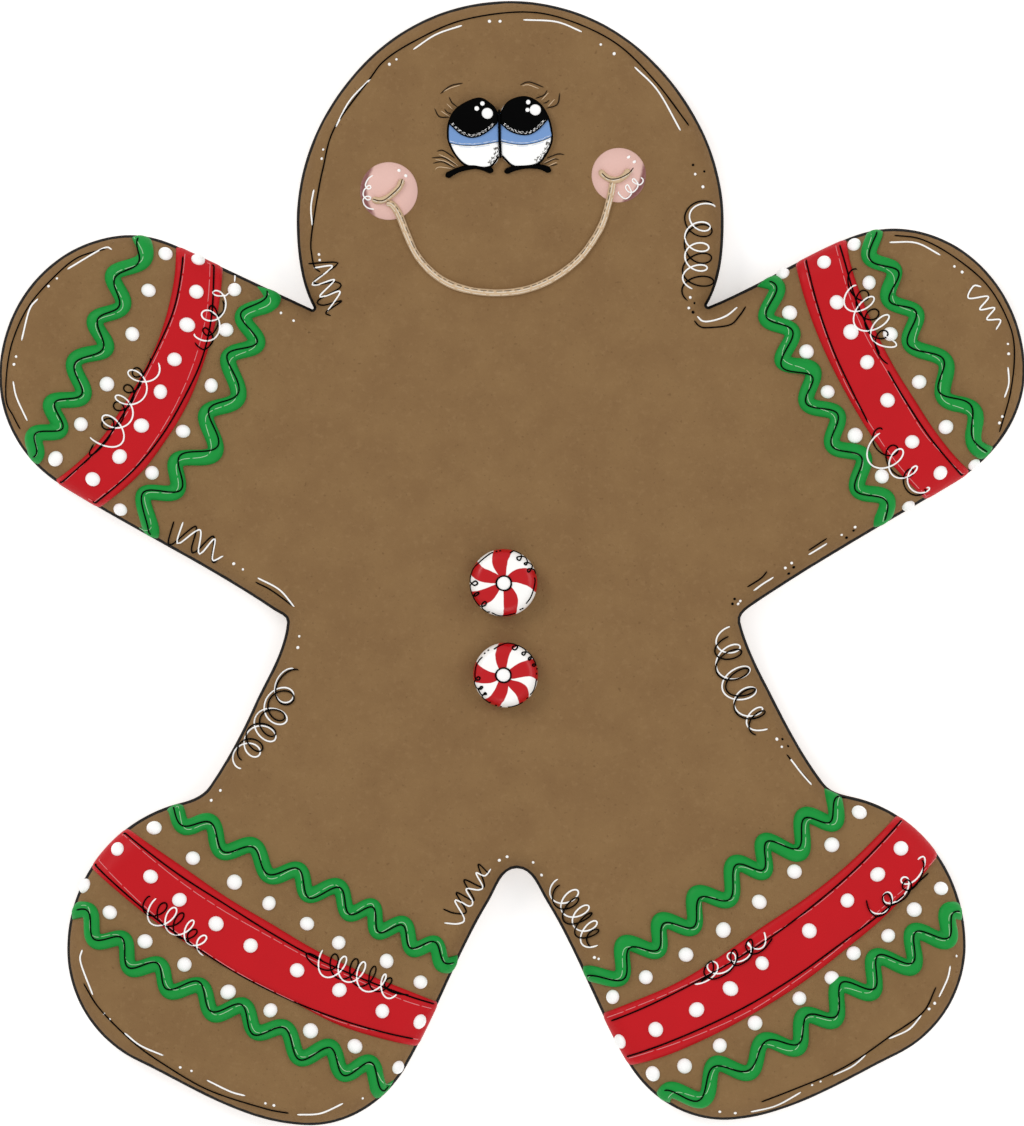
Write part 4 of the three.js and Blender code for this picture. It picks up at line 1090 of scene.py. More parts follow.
# peppermints: the section as shares of radius and height; a wedge has two sides, each given by its angle at
# three distances from the hub; the lines on a mint are squeezed a little towards its middle
mints = {
    "height": 3.5,
    "base": 7.45,
    "section": [(0.84, 0.0), (0.93, 0.07), (0.975, 0.2), (1.0, 0.45), (0.985, 0.62), (0.95, 0.76),
                (0.885, 0.88), (0.8, 0.96), (0.71, 0.995), (0.62, 1.0), (0.48, 0.985), (0.3, 0.97),
                (0.0, 0.965)],
    "turnSteps": 96,
    "dot": (0.98, 0.5),
    "distances": (1.7, 3.1, 4.5),
    "wobble": 5.0,
    "wedgeRise": 0.15,
    "whites": ((250, 247, 243), (254, 253, 251)),
    "reds": ((182, 8, 17), (189, 13, 24)),
    "coat": (0.03, 0.1),
    "ring": 1.03,
    "squeezeFrom": 3.4,
    "squeeze": 0.93,
    "lineMargin": 0.08,
    "upper": {
        "at": (-1.2, -2.8), "radius": 4.8, "hub": (-1.16, -2.87),
        "wedges": [((180, 177, 168), (128, 140.5, 142)), ((124, 121, 111), (78, 79.5, 75)),
                   ((58, 42, 25), (4, -5, -15)), ((-33, -50, -67), (-92, -90, -92)),
                   ((-122, -125, -136), (-168, -163.5, -165))],
        "lines": [
            [(0.9, 4.25), (1.61, 4.69), (2.24, 4.41), (2.59, 3.85), (2.32, 3.22), (1.96, 3.38), (2.01, 3.7),
             (2.72, 3.81), (3.19, 3.59), (3.43, 3.06), (3.27, 2.59), (3.0, 2.64), (3.11, 2.86),
             (3.67, 2.86), (4.11, 2.51), (4.06, 2.11), (3.67, 1.53), (3.43, 1.69), (3.59, 2.0),
             (4.22, 1.96), (4.62, 1.64), (4.57, 1.28)],
            [(-1.48, 4.41), (-2.19, 4.01), (-3.53, 2.91), (-4.4, 1.96), (-4.83, 0.93), (-4.83, 0.3),
             (-4.61, -0.1), (-4.16, -0.38), (-3.69, -0.1), (-4.04, 0.25), (-4.56, -0.1), (-4.96, -0.57),
             (-4.99, -1.21), (-4.72, -1.76), (-4.09, -1.92), (-3.53, -1.52), (-3.69, -1.37), (-4.13, -1.6),
             (-4.35, -2.08), (-3.93, -2.95), (-3.29, -3.39), (-2.66, -3.26), (-2.46, -2.87), (-2.74, -2.71),
             (-3.14, -3.19), (-2.9, -3.98), (-2.42, -4.25), (-1.95, -4.18)],
            [(-1.71, -4.32), (-0.68, -4.72), (0.42, -4.69), (1.69, -4.4)],
            [(3.24, -3.03), (3.9, -2.08), (4.3, -0.97), (4.54, 0.14), (4.46, 0.77)],
        ],
        "specks": [(2.43, -3.82), (2.72, -3.69), (-1.0, 4.49), (-0.48, 4.57)],
    },
    "lower": {
        "at": (-0.9, -15.9), "radius": 4.6, "hub": (-1.22, -15.92),
        "wedges": [((215, 202.5, 190), (165, 161, 152)), ((122, 111.5, 98), (71, 73, 65)),
                   ((41, 37, 31), (-16, -3.5, -6)), ((-26, -23, -36), (-66, -58, -62)),
                   ((-66, -84, -97), (-123, -121, -130))],
        "lines": [
            [(-1.7, 3.7), (-0.83, 4.25), (0.12, 4.57), (1.07, 4.54), (1.71, 4.14), (1.39, 3.62),
             (0.99, 3.75), (1.1, 4.14), (1.86, 4.22), (2.58, 4.03), (2.92, 3.51), (2.65, 2.87),
             (2.34, 2.99), (2.46, 3.27), (3.13, 3.3), (3.73, 2.95), (3.64, 2.4), (3.37, 2.16), (3.26, 2.35),
             (3.6, 2.64), (4.16, 2.45), (4.52, 1.85), (4.16, 1.29), (3.84, 1.4), (4.08, 1.61),
             (4.58, 1.37)],
            [(4.43, -0.53), (4.24, -1.48), (3.92, -2.35), (3.48, -2.82)],
            [(3.21, -3.22), (2.97, -3.45)],
            [(2.5, -3.9), (1.71, -4.37), (0.76, -4.67), (0.31, -4.56)],
            [(-2.17, -3.85), (-2.41, -4.05), (-2.96, -3.69), (-3.36, -3.14), (-3.23, -2.82), (-2.76, -2.74),
             (-2.96, -2.5), (-3.36, -2.9), (-3.83, -2.27), (-3.91, -1.95), (-3.59, -2.03), (-3.28, -1.71),
             (-3.59, -1.67), (-3.91, -2.03), (-4.43, -1.4), (-4.39, -0.76), (-3.83, -0.68), (-3.67, -0.37),
             (-3.99, -0.26), (-4.31, -0.53), (-4.42, 0.03), (-4.27, 1.21), (-3.83, 2.08), (-3.31, 2.61)],
        ],
        "specks": [(4.47, 0.9), (4.43, 0.19), (-0.67, -4.51), (-1.38, -4.32), (-2.99, 3.11), (-2.47, 3.54)],
    },
}  # fmt: skip


def makeMint(mint):
    profile = [(r * mint["radius"], h * mints["height"]) for r, h in mints["section"]]
    bm = turnedBody(profile, mints["turnSteps"])
    bmesh.ops.translate(bm, vec=(*mint["at"], mints["base"]), verts=bm.verts)
    return bm


def mintSugar(name, mint):
    # boiled sugar: white with red wedges that bend on their way out from the hub
    recipe = Recipe(name, 0.32, 0.3)
    x, y = mint["hub"]
    place = {"Vector": recipe.place(), "Location": (-x * mm, -y * mm, 0)}
    local = recipe.node("ShaderNodeMapping", {"vector_type": "POINT"}, place)
    across, along = [recipe.node("ShaderNodeSeparateXYZ", {}, {0: local}, axis) for axis in (0, 1)]
    near, middle, far = mints["distances"]
    step = ((across * across + along * along) ** 0.5 / mm - middle) / ((far - near) / 2)
    square = step * step
    angle = across.maths("ARCTAN2", along, across) * (180 / math.pi) + recipe.drift(1.2, 2.0, mints["wobble"])

    def bend(angles):
        first, second, third = angles
        return step * ((third - first) / 2) + square * ((first + third) / 2 - second) + second

    red = None
    for first, last in mint["wedges"]:
        centre = bend([(a + b) / 2 for a, b in zip(first, last)])
        half = bend([(a - b) / 2 for a, b in zip(first, last)])
        away = recipe.node("ShaderNodeMath", {"operation": "WRAP"}, {0: angle - centre, 1: 180.0, 2: -180.0})
        wedge = recipe.mask(half - away.maths("ABSOLUTE", away, 0.0), -1.0, 1.0)
        red = wedge if red is None else red.largest(wedge)
    white = recipe.tint(recipe.noise(2.2, 3.0), *[colour(*shade) for shade in mints["whites"]])
    wine = recipe.tint(recipe.noise(1.6, 3.0), *[colour(*shade) for shade in mints["reds"]])
    recipe.paint("Base Color", recipe.tint(red, white, wine))
    recipe.bump(recipe.noise(1.8) + red * mints["wedgeRise"], 0.05)
    weight, roughness = mints["coat"]
    recipe.shader.inputs["Coat Weight"].default_value = weight
    recipe.shader.inputs["Coat Roughness"].default_value = roughness
    return recipe.material


for side in ("upper", "lower"):
    mint = mints[side]
    sugar = mintSugar("peppermint_" + side, mint)
    finishPiece("mint_" + side, makeMint(mint), sugar, ["candy_" + side])
    bm = bmesh.new()
    level = mints["base"] + mints["height"] * mints["section"][-1][1]
    addDot(bm, Vector((*mint["hub"], level)), up, *mints["dot"])
    finishPiece("mint_dot_" + side, bm, paints["white"], ["candy_" + side])
print("peppermints")

smile = {
    "line": [(-17.8, 51.09), (-16.98, 50.81), (-16.05, 49.47), (-14.92, 46.65), (-13.66, 43.96),
             (-11.82, 41.68), (-9.51, 39.94), (-6.92, 38.93), (-4.08, 38.43), (-1.1, 38.37), (1.87, 38.79),
             (4.66, 39.81), (7.21, 41.29), (9.51, 43.2), (11.36, 45.56), (12.84, 48.2), (13.72, 51.12),
             (14.07, 52.6), (14.31, 54.07)],
    "dimples": [
        [(-19.8, 51.66), (-18.94, 51.42), (-17.96, 51.66), (-16.9, 52.4), (-16.0, 53.34), (-15.56, 54.4)],
        [(12.48, 55.66), (13.17, 54.89), (14.23, 54.38), (15.21, 54.42), (16.19, 55.13), (16.51, 55.86)],
    ],
}  # fmt: skip


def bedOf(names):
    # one surface out of several pieces, in millimetres
    bm = bmesh.new()
    for name in names:
        bm.from_mesh(bpy.data.objects[name].data)
    bmesh.ops.scale(bm, vec=(1 / mm,) * 3, verts=bm.verts)
    tree = BVHTree.FromBMesh(bm)
    bm.free()
    return tree


def pipeLines(name, strokes, material, stands=(), fineness=2):
    # round beads of icing: each stroke has points in space and a radius for every point
    data = bpy.data.curves.new(name, "CURVE")
    data.dimensions = "3D"
    data.bevel_depth = 1.0
    data.bevel_resolution = fineness
    data.use_fill_caps = True
    for points, radii in strokes:
        spline = data.splines.new("POLY")
        spline.points.add(len(points) - 1)
        for target, point, radius in zip(spline.points, points, radii):
            target.co = (*point, 1)
            target.radius = radius
    holder = bpy.data.objects.new(name + "_line", data)
    collection.objects.link(holder)
    evaluated = holder.evaluated_get(bpy.context.evaluated_depsgraph_get())
    bm = bmesh.new()
    bm.from_mesh(evaluated.to_mesh())
    bpy.data.objects.remove(holder)
    bmesh.ops.recalc_face_normals(bm, faces=bm.faces)
    finishPiece(name, bm, material, stands)


# beads: radius, lift of the middle above the bed in radii, length of the thin ends, the share of the radius
# at the tip, and how many neighbours to each side even out the height
beads = {
    "smile": {"radius": 0.52, "lift": 0.3, "taper": 0.5, "tip": 0.2, "even": 2},
    "dimple": {"radius": 0.47, "lift": 0.35, "taper": 0.4, "tip": 0.1, "even": 3},
    "lid": {"radius": 0.45, "lift": 0.6, "taper": 0.42, "tip": 0.1, "even": 6},
    "white": {"radius": 0.122, "lift": 0.5},
    "black": {"radius": 0.112, "lift": 0.5},
    "over": {"radius": 0.112, "lift": 1.7},
    "stitch": {"radius": 0.12, "lift": 0.5},
    "wave": {"radius": 0.115, "lift": 0.5},
    "mintRing": {"radius": 0.14, "lift": 0.4, "taper": 0.1, "tip": 0.9},
    "mintLine": {"radius": 0.115, "lift": 0.3, "taper": 0.15, "tip": 0.5},
    "eyeOutline": {"radius": 0.15, "lift": 0.5, "taper": 0.1, "tip": 0.9, "even": 5},
    "irisLine": {"radius": 0.072, "lift": 0.3},
    "bridge": {"radius": 0.18, "lift": 0.4, "taper": 0.2, "tip": 0.6, "even": 4},
    "cheekCurls": {"radius": 0.105, "lift": 0.4, "taper": 0.15},
    "dark": {"radius": 0.088, "lift": 0.4, "taper": 0.9, "tip": 0.25},
    "pale": {"radius": 0.072, "lift": 0.3, "taper": 0.9, "tip": 0.25},
    "dimpleLine": {"radius": 0.0675, "lift": 0.3, "taper": 0.3, "tip": 0.4},
}
beat = {"length": 1.7, "depth": 0.12, "shift": 9}
lidSwell = (0.82, 0.36, 3)

# dry strokes, in grains: width, lengths of dashes and gaps, radius and thin ends of a grain, how far they run
# to the left of their line and in how many lanes
chalks = {
    "bandHighlight": {"width": 0.1, "dash": 2.6, "gap": 0.07, "radius": 0.06, "taper": 0.3},
    "waveHighlight": {"width": 0.1, "dash": 1.9, "gap": 0.08, "radius": 0.06, "taper": 0.3},
    "aboveIris": {"width": 0.12, "dash": 0.9, "gap": 0.25, "radius": 0.045, "taper": 0.15,
                  "aside": 0.22, "lanes": 2},
    "belowIris": {"width": 0.06, "dash": 1.6, "gap": 0.4, "radius": 0.036, "taper": 0.15, "aside": -0.26},
    # pupil: white grains that paint a highlight along the lower edge of the pupil
    "pupil": {"width": 0.34, "dash": 0.3, "gap": 0.2, "radius": 0.02475, "taper": 0.1,
              "aside": 0.37, "lanes": 5},
    "eyeShade": {"width": 0.65, "dash": 0.45, "gap": 0.2, "radius": 0.03825, "taper": 0.1, "lanes": 7},
    "smileShade": {"width": 0.1, "dash": 0.8, "gap": 0.14, "radius": 0.04725, "taper": 0.15, "aside": 0.24},
    "smileHighlight": {"width": 0.1, "dash": 1.9, "gap": 0.1, "radius": 0.0585, "taper": 0.2, "aside": 0.06},
    "smileLowerHighlight": {"width": 0.1, "dash": 1.9, "gap": 0.1, "radius": 0.0495, "taper": 0.2, "aside": -0.3},
    # dimple: cream grains that paint a highlight beside the dimple line
    "dimple": {"width": 0.06, "dash": 0.9, "gap": 0.12, "radius": 0.054, "taper": 0.15, "aside": -0.16},
}
grainLift = 0.3


def drape(tree, line, radius, lift, taper=0.4, tip=0.45, even=1):
    # lays a bead on a bed
    points = [restOn(tree, place) for place in line]
    lengths = [0.0]
    for a, b in zip(line, line[1:]):
        lengths.append(lengths[-1] + (b - a).length)
    stroke, radii = [], []
    for i, (point, along) in enumerate(zip(points, lengths)):
        near = [neighbour.z for neighbour in points[max(i - even, 0):i + even + 1]]
        height = sum(near) / len(near)
        if even == 1:
            height = max(height, point.z)
        full = tip + (1 - tip) * roundedRise(min(along, lengths[-1] - along), taper)
        place = Vector((point.x / beat["length"], point.y / beat["length"], radius * beat["shift"]))
        stroke.append(Vector((point.x, point.y, height)) + surfaceNormal(point) * radius * lift * full)
        radii.append(radius * full * (1 + beat["depth"] * noise.noise(place)))
    return stroke, radii


def dryStroke(tree, line, width, dash, gap, radius, taper, aside=0, lanes=1):
    grains = chalk(beside(line, aside), width, dash, gap, lanes)
    return [drape(tree, grain, radius, grainLift, taper) for grain in grains]


cheekBed = bedOf(["gingerbread", "flooded_cheek_left", "flooded_cheek_right"])
strokes = [drape(cheekBed, throughPoints(smile["line"], 0.15), **beads["smile"])]
strokes += [drape(cheekBed, throughPoints(spots, 0.1), **beads["dimple"]) for spots in smile["dimples"]]
pipeLines("piped_smile", strokes, paints["tan"], ["smile"], 3)
thin, thicker, power = lidSwell
for side in ("left", "right"):
    bead, radii = drape(bodyTree, throughPoints(eyes[side]["lid"], 0.06), **beads["lid"])
    outwards = [abs(2 * i / (len(radii) - 1) - 1) for i in range(len(radii))]
    radii = [radius * (thin + thicker * out**power) for radius, out in zip(radii, outwards)]
    pipeLines("piped_lid_" + side, [(bead, radii)], paints["black"], ["lid_" + side])
print("smile and lids")

# curls roll along a line in loops: start and end of their middle, loops and bow, then at even steps how far
# the roll runs ahead in turn, how far it reaches to the left and how far it rolls back and forth. The black
# lines named "over" are laid over the white ones
curls = {
    "white": [
        ((27.16, 50.74), (26.24, 39.85), 3.65, -0.52,
         [-0.07, -0.04, 0.11, 0.26, 0.31, 0.36],
         [1.64, 1.58, 1.8, 1.5, 2.11], [-0.92, -1.26, -1.27, -1.1, -1.03]),
        ((-31.91, -16.09), (-38.93, -28.11), 4.65, 1.14,
         [1.27, 0.98, 0.78, 0.98, 1.07, 1.54],
         [1.04, 1.74, 2.08, 1.66, 1.21], [-1.44, -1.87, -1.54, -1.58, -1.08]),
        ((-51.65, 28.07), (-57.78, 17.02), 3.5, -0.16,
         [-0.96, -0.59, -1.03, -1.25, -0.81, -0.33],
         [1.96, 1.92, 1.76, 1.99, 2.38], [1.22, 1.4, 1.24, 1.42, 0.93]),
        ((-40.77, 38.94), (-43.46, 31.72), 2.4, -0.32,
         [1.22, 0.97, 0.79, 0.81, 0.85, 0.86],
         [1.22, 1.25, 1.49, 1.56, 1.77], [0.87, 1.21, 1.39, 1.4, 0.86]),
        ((48.06, 38.33), (53.99, 30.84), 3.05, 0,
         [0.41, 1.11, 1.03, 0.87, 0.65, 1.04],
         [1.42, 2.16, 2.38, 1.86, 0.02], [-0.91, -1.26, -1.33, -1.24, -2.01]),
        ((51.62, 16.19), (58.65, 9.82), 2.95, 0.62,
         [0.72, 0.71, 0.79, 0.97, 0.82, 0.86],
         [2.77, 2.03, 1.7, 1.3, 0.88], [-1.6, -1.42, -1.1, -0.93, -0.85]),
        ((30.17, -9.69), (35.4, -23.35), 4.75, -0.94,
         [0.58, 0.54, -0.16, -0.2, 0.23, 0.53],
         [1.11, 1.99, 2.34, 1.72, 1.47], [-0.63, -1.39, -1.45, -1.25, -0.59]),
        ((-50.91, -49.33), (-43.37, -54.77), 3.3, 0.58,
         [0.67, 0.99, 1, 0.5, 0.62, 1.45],
         [2.08, 1.72, 1.73, 1.31, 1.05], [-1.09, -1.16, -1.08, -0.9, -1.11]),
        ((-26.71, -56.66), (-16.58, -61.06), 3.75, 0.43,
         [0.84, 0.99, 1.36, 1.1, 0.31, -0.06],
         [2.28, 1.62, 1.89, 1.68, 0.99], [-1.13, -1.03, -1.11, -1.01, -0.26]),
        ((6.43, -46.1), (11.59, -53.68), 3.7, 0.53,
         [1.03, 1.09, 0.83, 0.73, 0.78, 0.4],
         [1.48, 1.82, 1.7, 1.54, 1.79], [-1.12, -1.21, -1.07, -1.04, -0.81]),
        ((26.72, -58.57), (36.15, -53.11), 3.55, -0.27,
         [-0.88, -1.18, -1.1, -1.04, -0.91, -0.46],
         [-1.04, -1.13, -0.96, -0.91, -0.8], [1.67, 1.37, 1.18, 0.66, 0.34]),
        ((51.67, -48.99), (58.07, -42.27), 2.75, -0.68,
         [-2.14, -1.17, -0.79, -1.11, -1.28, -1.44],
         [-1.12, -1.03, -0.9, -0.9, -0.46], [0.96, 1.4, 1.3, 1.28, 1.58]),
    ],
    "black": [
        ((26.59, 50.6), (26.44, 38.25), 3.56, -0.17,
         [0.21, 0.13, -0.07, -0.65, -0.58, 0.49],
         [1.98, 1.97, 1.89, 2.16, 2.33], [-1.41, -1.65, -1.64, -1.35, -1.35]),
        ((-52.3, 28.45), (-58.98, 16.71), 4.65, 0.31,
         [-0.87, -0.19, 0.19, 0.14, -0.14, -0.97],
         [0.84, 0.96, 1.04, 1.13, 0.44], [1.38, 1.13, 1.25, 1.5, 2.68]),
        ((48.56, 40.43), (53.48, 29.98), 3.75, -0.25,
         [0.66, 0.59, 0.72, 0.82, 0.34, -0.57],
         [1.18, 1.1, 1.37, 1.15, 1.53], [-1.59, -1.38, -1.38, -1.25, -1.84]),
        ((51.55, 18.53), (58, 9.53), 3.05, 0.04,
         [-0.29, 0.05, 0.21, -0.25, -0.23, 0.27],
         [1.05, 1.27, 1.26, 1.18, 1.06], [-0.97, -1.4, -1.47, -1.11, -0.79]),
        ((-52.27, -48.32), (-44.23, -54.86), 3.95, 0.91,
         [-0.18, 0.26, 0.31, -0.24, -0.47, -0.91],
         [1.29, 1.35, 1.56, 1.25, 0.11], [-0.62, -1.1, -1.06, -1.05, -1.26]),
        ((-28.67, -56.11), (-15.88, -60.8), 4.75, 0.44,
         [-1.11, -0.88, -1.09, -1.07, -0.47, -0.06],
         [0.39, 1.51, 1.77, 1.53, 0.29], [-2.14, -1.18, -1.11, -0.87, -1.28]),
    ],
    "over": [
        ((-31.61, -16.56), (-38.33, -27.1), 4.6, 0.94,
         [1.26, 0.73, 0.85, 1.02, 1.16, 1.58],
         [1.2, 1.55, 1.46, 1.76, 0.86], [-1.93, -1.57, -1.15, -1.34, -0.91]),
        ((29.9, -11.03), (35.27, -23.66), 4.65, -0.4,
         [0.55, 1.11, 1.48, 1.45, 0.63, -0.13],
         [1.12, 2.22, 1.83, 1.94, 1.27], [-0.43, -1.36, -0.91, -1.19, -0.63]),
        ((6.76, -46.95), (11.79, -53.81), 3.25, 0.19,
         [0.9, 1.22, 1.07, 0.8, 0.98, 1.74],
         [1.28, 1.63, 1.92, 1.65, 0.89], [-1.22, -0.98, -0.83, -0.72, -0.99]),
    ],
}  # fmt: skip

# loose strokes, as the points that they run through: scribbles, curls and the lines inside the edge; the
# short white dashes along the edge are painted highlights of the biscuit's rounded rim
scribbles = {
    "black": [
        [(-28.9, 42.5), (-25.2, 42.7), (-25.0, 42.2), (-28.0, 40.1), (-27.3, 39.6), (-25.0, 39.9),
         (-24.4, 39.1), (-27.5, 37.3), (-26.8, 36.6), (-24.2, 37.2), (-26.4, 35.6), (-25.7, 35.1)],
        [(-48.0, 5.9), (-48.8, 3.0), (-48.2, 2.7), (-44.9, 5.2), (-45.5, 2.0), (-44.9, 1.6), (-42.4, 3.8),
         (-42.6, 0.6), (-42.2, 0.1), (-41.7, 0.7)],
        [(-9.8, -49.1), (-8.2, -49.7), (-6.5, -49.5), (-7.9, -46.8), (-5.4, -47.9), (-6.8, -45.0),
         (-4.0, -46.0), (-4.8, -42.8), (-3.2, -44.2)],
        [(-27.2, 41.3), (-28.0, 42.0), (-28.4, 43.7), (-28.5, 46.0), (-27.7, 51.5), (-26.8, 56.1),
         (-25.2, 61.7), (-20.4, 68.4), (-18.0, 71.4), (-13.6, 74.2), (-7.2, 77.0), (1.1, 78.2), (7.5, 77.2),
         (14.7, 73.8), (20.3, 68.4), (25.1, 62.1)],
        [(-57.7, 44.6), (-61.7, 43.3), (-65.1, 40.5), (-68.5, 36.6), (-70.6, 32.3), (-71.6, 28.1),
         (-71.8, 23.2), (-70.8, 20.9), (-69.8, 19.0)],
        [(54.3, 46.5), (58.2, 45.9), (62.8, 43.4), (67.4, 39.5), (70.3, 34.6), (71.3, 30.4), (70.8, 24.5),
         (69.2, 18.6)],
        [(-60.8, -59.7), (-58.5, -63.3), (-53.9, -67.9), (-49.5, -71.1), (-43.1, -74.8), (-35.2, -77.4),
         (-31.7, -78.1)],
        [(60.2, -60.2), (58.3, -63.8), (53.9, -67.0), (49.1, -70.4), (45.1, -72.6), (40.3, -74.6),
         (35.4, -76.5)],
        [(39.0, -27.2), (40.5, -29.1), (42.4, -31.3)],
        [(-36.4, -2.7), (-34.1, -3.9), (-31.1, -6.1)],
        [(44.7, 3.5), (42.1, 1.8)],
        [(33.4, -3.4), (35.3, -2.2), (36.2, -1.2)],
        [(25.9, 34.4), (26.5, 33.7), (27.6, 33.4), (30.9, 33.8), (32.3, 35.1), (33.2, 36.4)],
        [(-41.08, 37.31), (-40.89, 36.67), (-40.98, 35.74), (-41.63, 35.16), (-42.1, 35.07), (-42.7, 35.48),
         (-42.97, 35.99), (-42.87, 36.4), (-42.53, 36.55), (-42.1, 36.12), (-41.85, 35.48), (-41.69, 34.63),
         (-41.76, 33.78), (-42.27, 32.8), (-42.79, 32.37), (-43.17, 32.24), (-43.64, 32.54),
         (-43.89, 33.01), (-43.68, 33.37), (-43.34, 33.31), (-42.87, 32.88), (-42.53, 32.33), (-42.4, 31.9),
         (-42.53, 31.35), (-43.04, 30.71), (-43.64, 30.28), (-44.23, 30.49), (-44.75, 30.92),
         (-45.0, 31.29)],
    ],
    "over": [
        [(26.76, -59.48), (27.47, -58.96), (28.21, -58.44), (28.51, -57.99), (28.59, -57.28),
         (28.44, -56.64), (28.18, -56.53), (27.62, -57.05), (27.28, -57.72), (27.28, -58.32),
         (27.69, -58.77), (28.21, -59.01), (28.89, -59.0), (29.86, -58.62), (30.76, -58.06),
         (31.43, -57.31), (31.69, -56.86), (31.95, -56.23), (31.99, -55.56), (31.73, -54.96),
         (31.47, -54.85), (31.17, -55.18), (31.02, -55.85), (31.13, -56.53), (31.43, -57.01),
         (31.88, -57.13), (32.63, -56.9), (33.37, -56.45), (33.93, -55.85), (34.12, -55.11),
         (34.16, -54.13), (34.05, -53.54), (33.82, -53.39), (33.41, -53.69), (33.16, -54.36),
         (33.37, -54.96), (33.82, -55.37), (34.2, -55.5), (34.87, -55.37), (35.47, -55.03), (35.99, -54.58),
         (36.51, -53.91), (36.96, -53.27)],
        [(58.14, -42.13), (58.41, -42.62), (58.37, -43.38), (58.18, -44.29), (57.76, -45.2),
         (57.23, -45.88), (56.7, -46.3), (56.06, -46.45), (55.56, -46.26), (55.4, -45.88), (55.64, -45.28),
         (56.13, -44.94), (56.55, -45.28), (56.7, -45.81), (56.59, -46.34), (56.09, -47.25),
         (55.49, -47.82), (54.73, -48.23), (53.97, -48.57), (53.37, -48.69), (52.91, -48.46),
         (52.61, -47.85), (52.68, -47.25), (53.21, -46.87), (53.59, -47.25), (53.86, -47.85),
         (53.78, -48.54), (53.44, -49.22), (52.91, -49.79), (52.23, -50.13), (51.62, -50.13),
         (51.02, -49.67), (50.52, -48.88), (50.3, -47.85)],
    ],
    "white": [
        [(-28.1, 41.9), (-25.5, 42.1), (-28.2, 39.8), (-27.6, 39.5), (-25.2, 40.2), (-27.2, 38.0),
         (-26.5, 37.9), (-24.4, 38.5), (-26.2, 35.7)],
        [(-46.7, 5.8), (-47.5, 3.3), (-47.1, 2.9), (-44.3, 4.7), (-44.5, 1.6), (-43.9, 1.6), (-42.2, 3.4),
         (-42.5, 0.5), (-41.0, 1.0)],
        [(-9.6, -51.1), (-7.7, -51.2), (-6.8, -50.5), (-8.1, -48.0), (-7.3, -48.1), (-6.1, -48.7),
         (-5.6, -48.1), (-6.5, -46.3), (-4.8, -46.4), (-4.2, -45.9), (-5.1, -44.0), (-3.9, -44.4),
         (-3.0, -43.4)],
        [(66.6, 39.2), (65.5, 39.3), (64.8, 37.6), (67.6, 37.8), (66.4, 36.0), (68.5, 36.2), (67.4, 34.6),
         (69.3, 34.5), (68.7, 33.1)],
        [(-14.0, 72.9), (-10.8, 75.0), (-7.1, 76.3)],
        [(1.6, 77.1), (6.3, 76.8), (9.9, 75.4)],
        [(17.4, 70.4), (20.7, 67.0), (23.9, 61.4)],
        [(-20.1, 68.7), (-23.0, 65.6), (-25.0, 61.9)],
        [(-28.1, 53.0), (-28.5, 50.5), (-28.3, 47.8)],
        [(-56.8, 44.5), (-58.1, 44.6), (-63.1, 41.7)],
        [(-67.3, 37.5), (-68.5, 35.9), (-69.6, 31.6)],
        [(-70.8, 25.8), (-70.3, 23.5), (-68.8, 20.2)],
        [(53.6, 45.5), (57.4, 45.4), (60.8, 43.7)],
        [(70.4, 27.8), (70.5, 25.5), (69.9, 23.5)],
        [(-61.0, -54.9), (-61.2, -56.7), (-59.5, -61.3)],
        [(-55.0, -66.7), (-52.7, -68.5), (-49.5, -69.9)],
        [(-43.3, -73.4), (-40.0, -75.0), (-37.9, -75.6)],
        [(-30.5, -78.3), (-27.2, -78.1), (-24.0, -76.7)],
        [(62.2, -57.2), (61.8, -59.0), (60.6, -61.6)],
        [(58.1, -64.2), (56.3, -66.2), (53.5, -67.5)],
        [(50.2, -69.8), (48.3, -71.4), (45.6, -72.7)],
        [(41.0, -75.1), (37.5, -77.0), (33.9, -77.9)],
        [(39.4, -27.7), (41.1, -29.9), (42.5, -31.5)],
        [(-36.1, -2.1), (-33.0, -3.8), (-30.9, -6.2)],
        [(44.7, 2.8), (42.1, 1.2)],
        [(34.3, -3.9), (35.5, -3.0), (37.1, -2.0)],
        [(26.3, 35.0), (27.1, 34.3), (28.6, 34.4), (30.5, 35.1), (32.0, 36.3)],
        [(-39.35, 40.95), (-39.4, 39.9)],
        [(-40.1, 38.4), (-40.75, 37.85)],
    ],
}  # fmt: skip

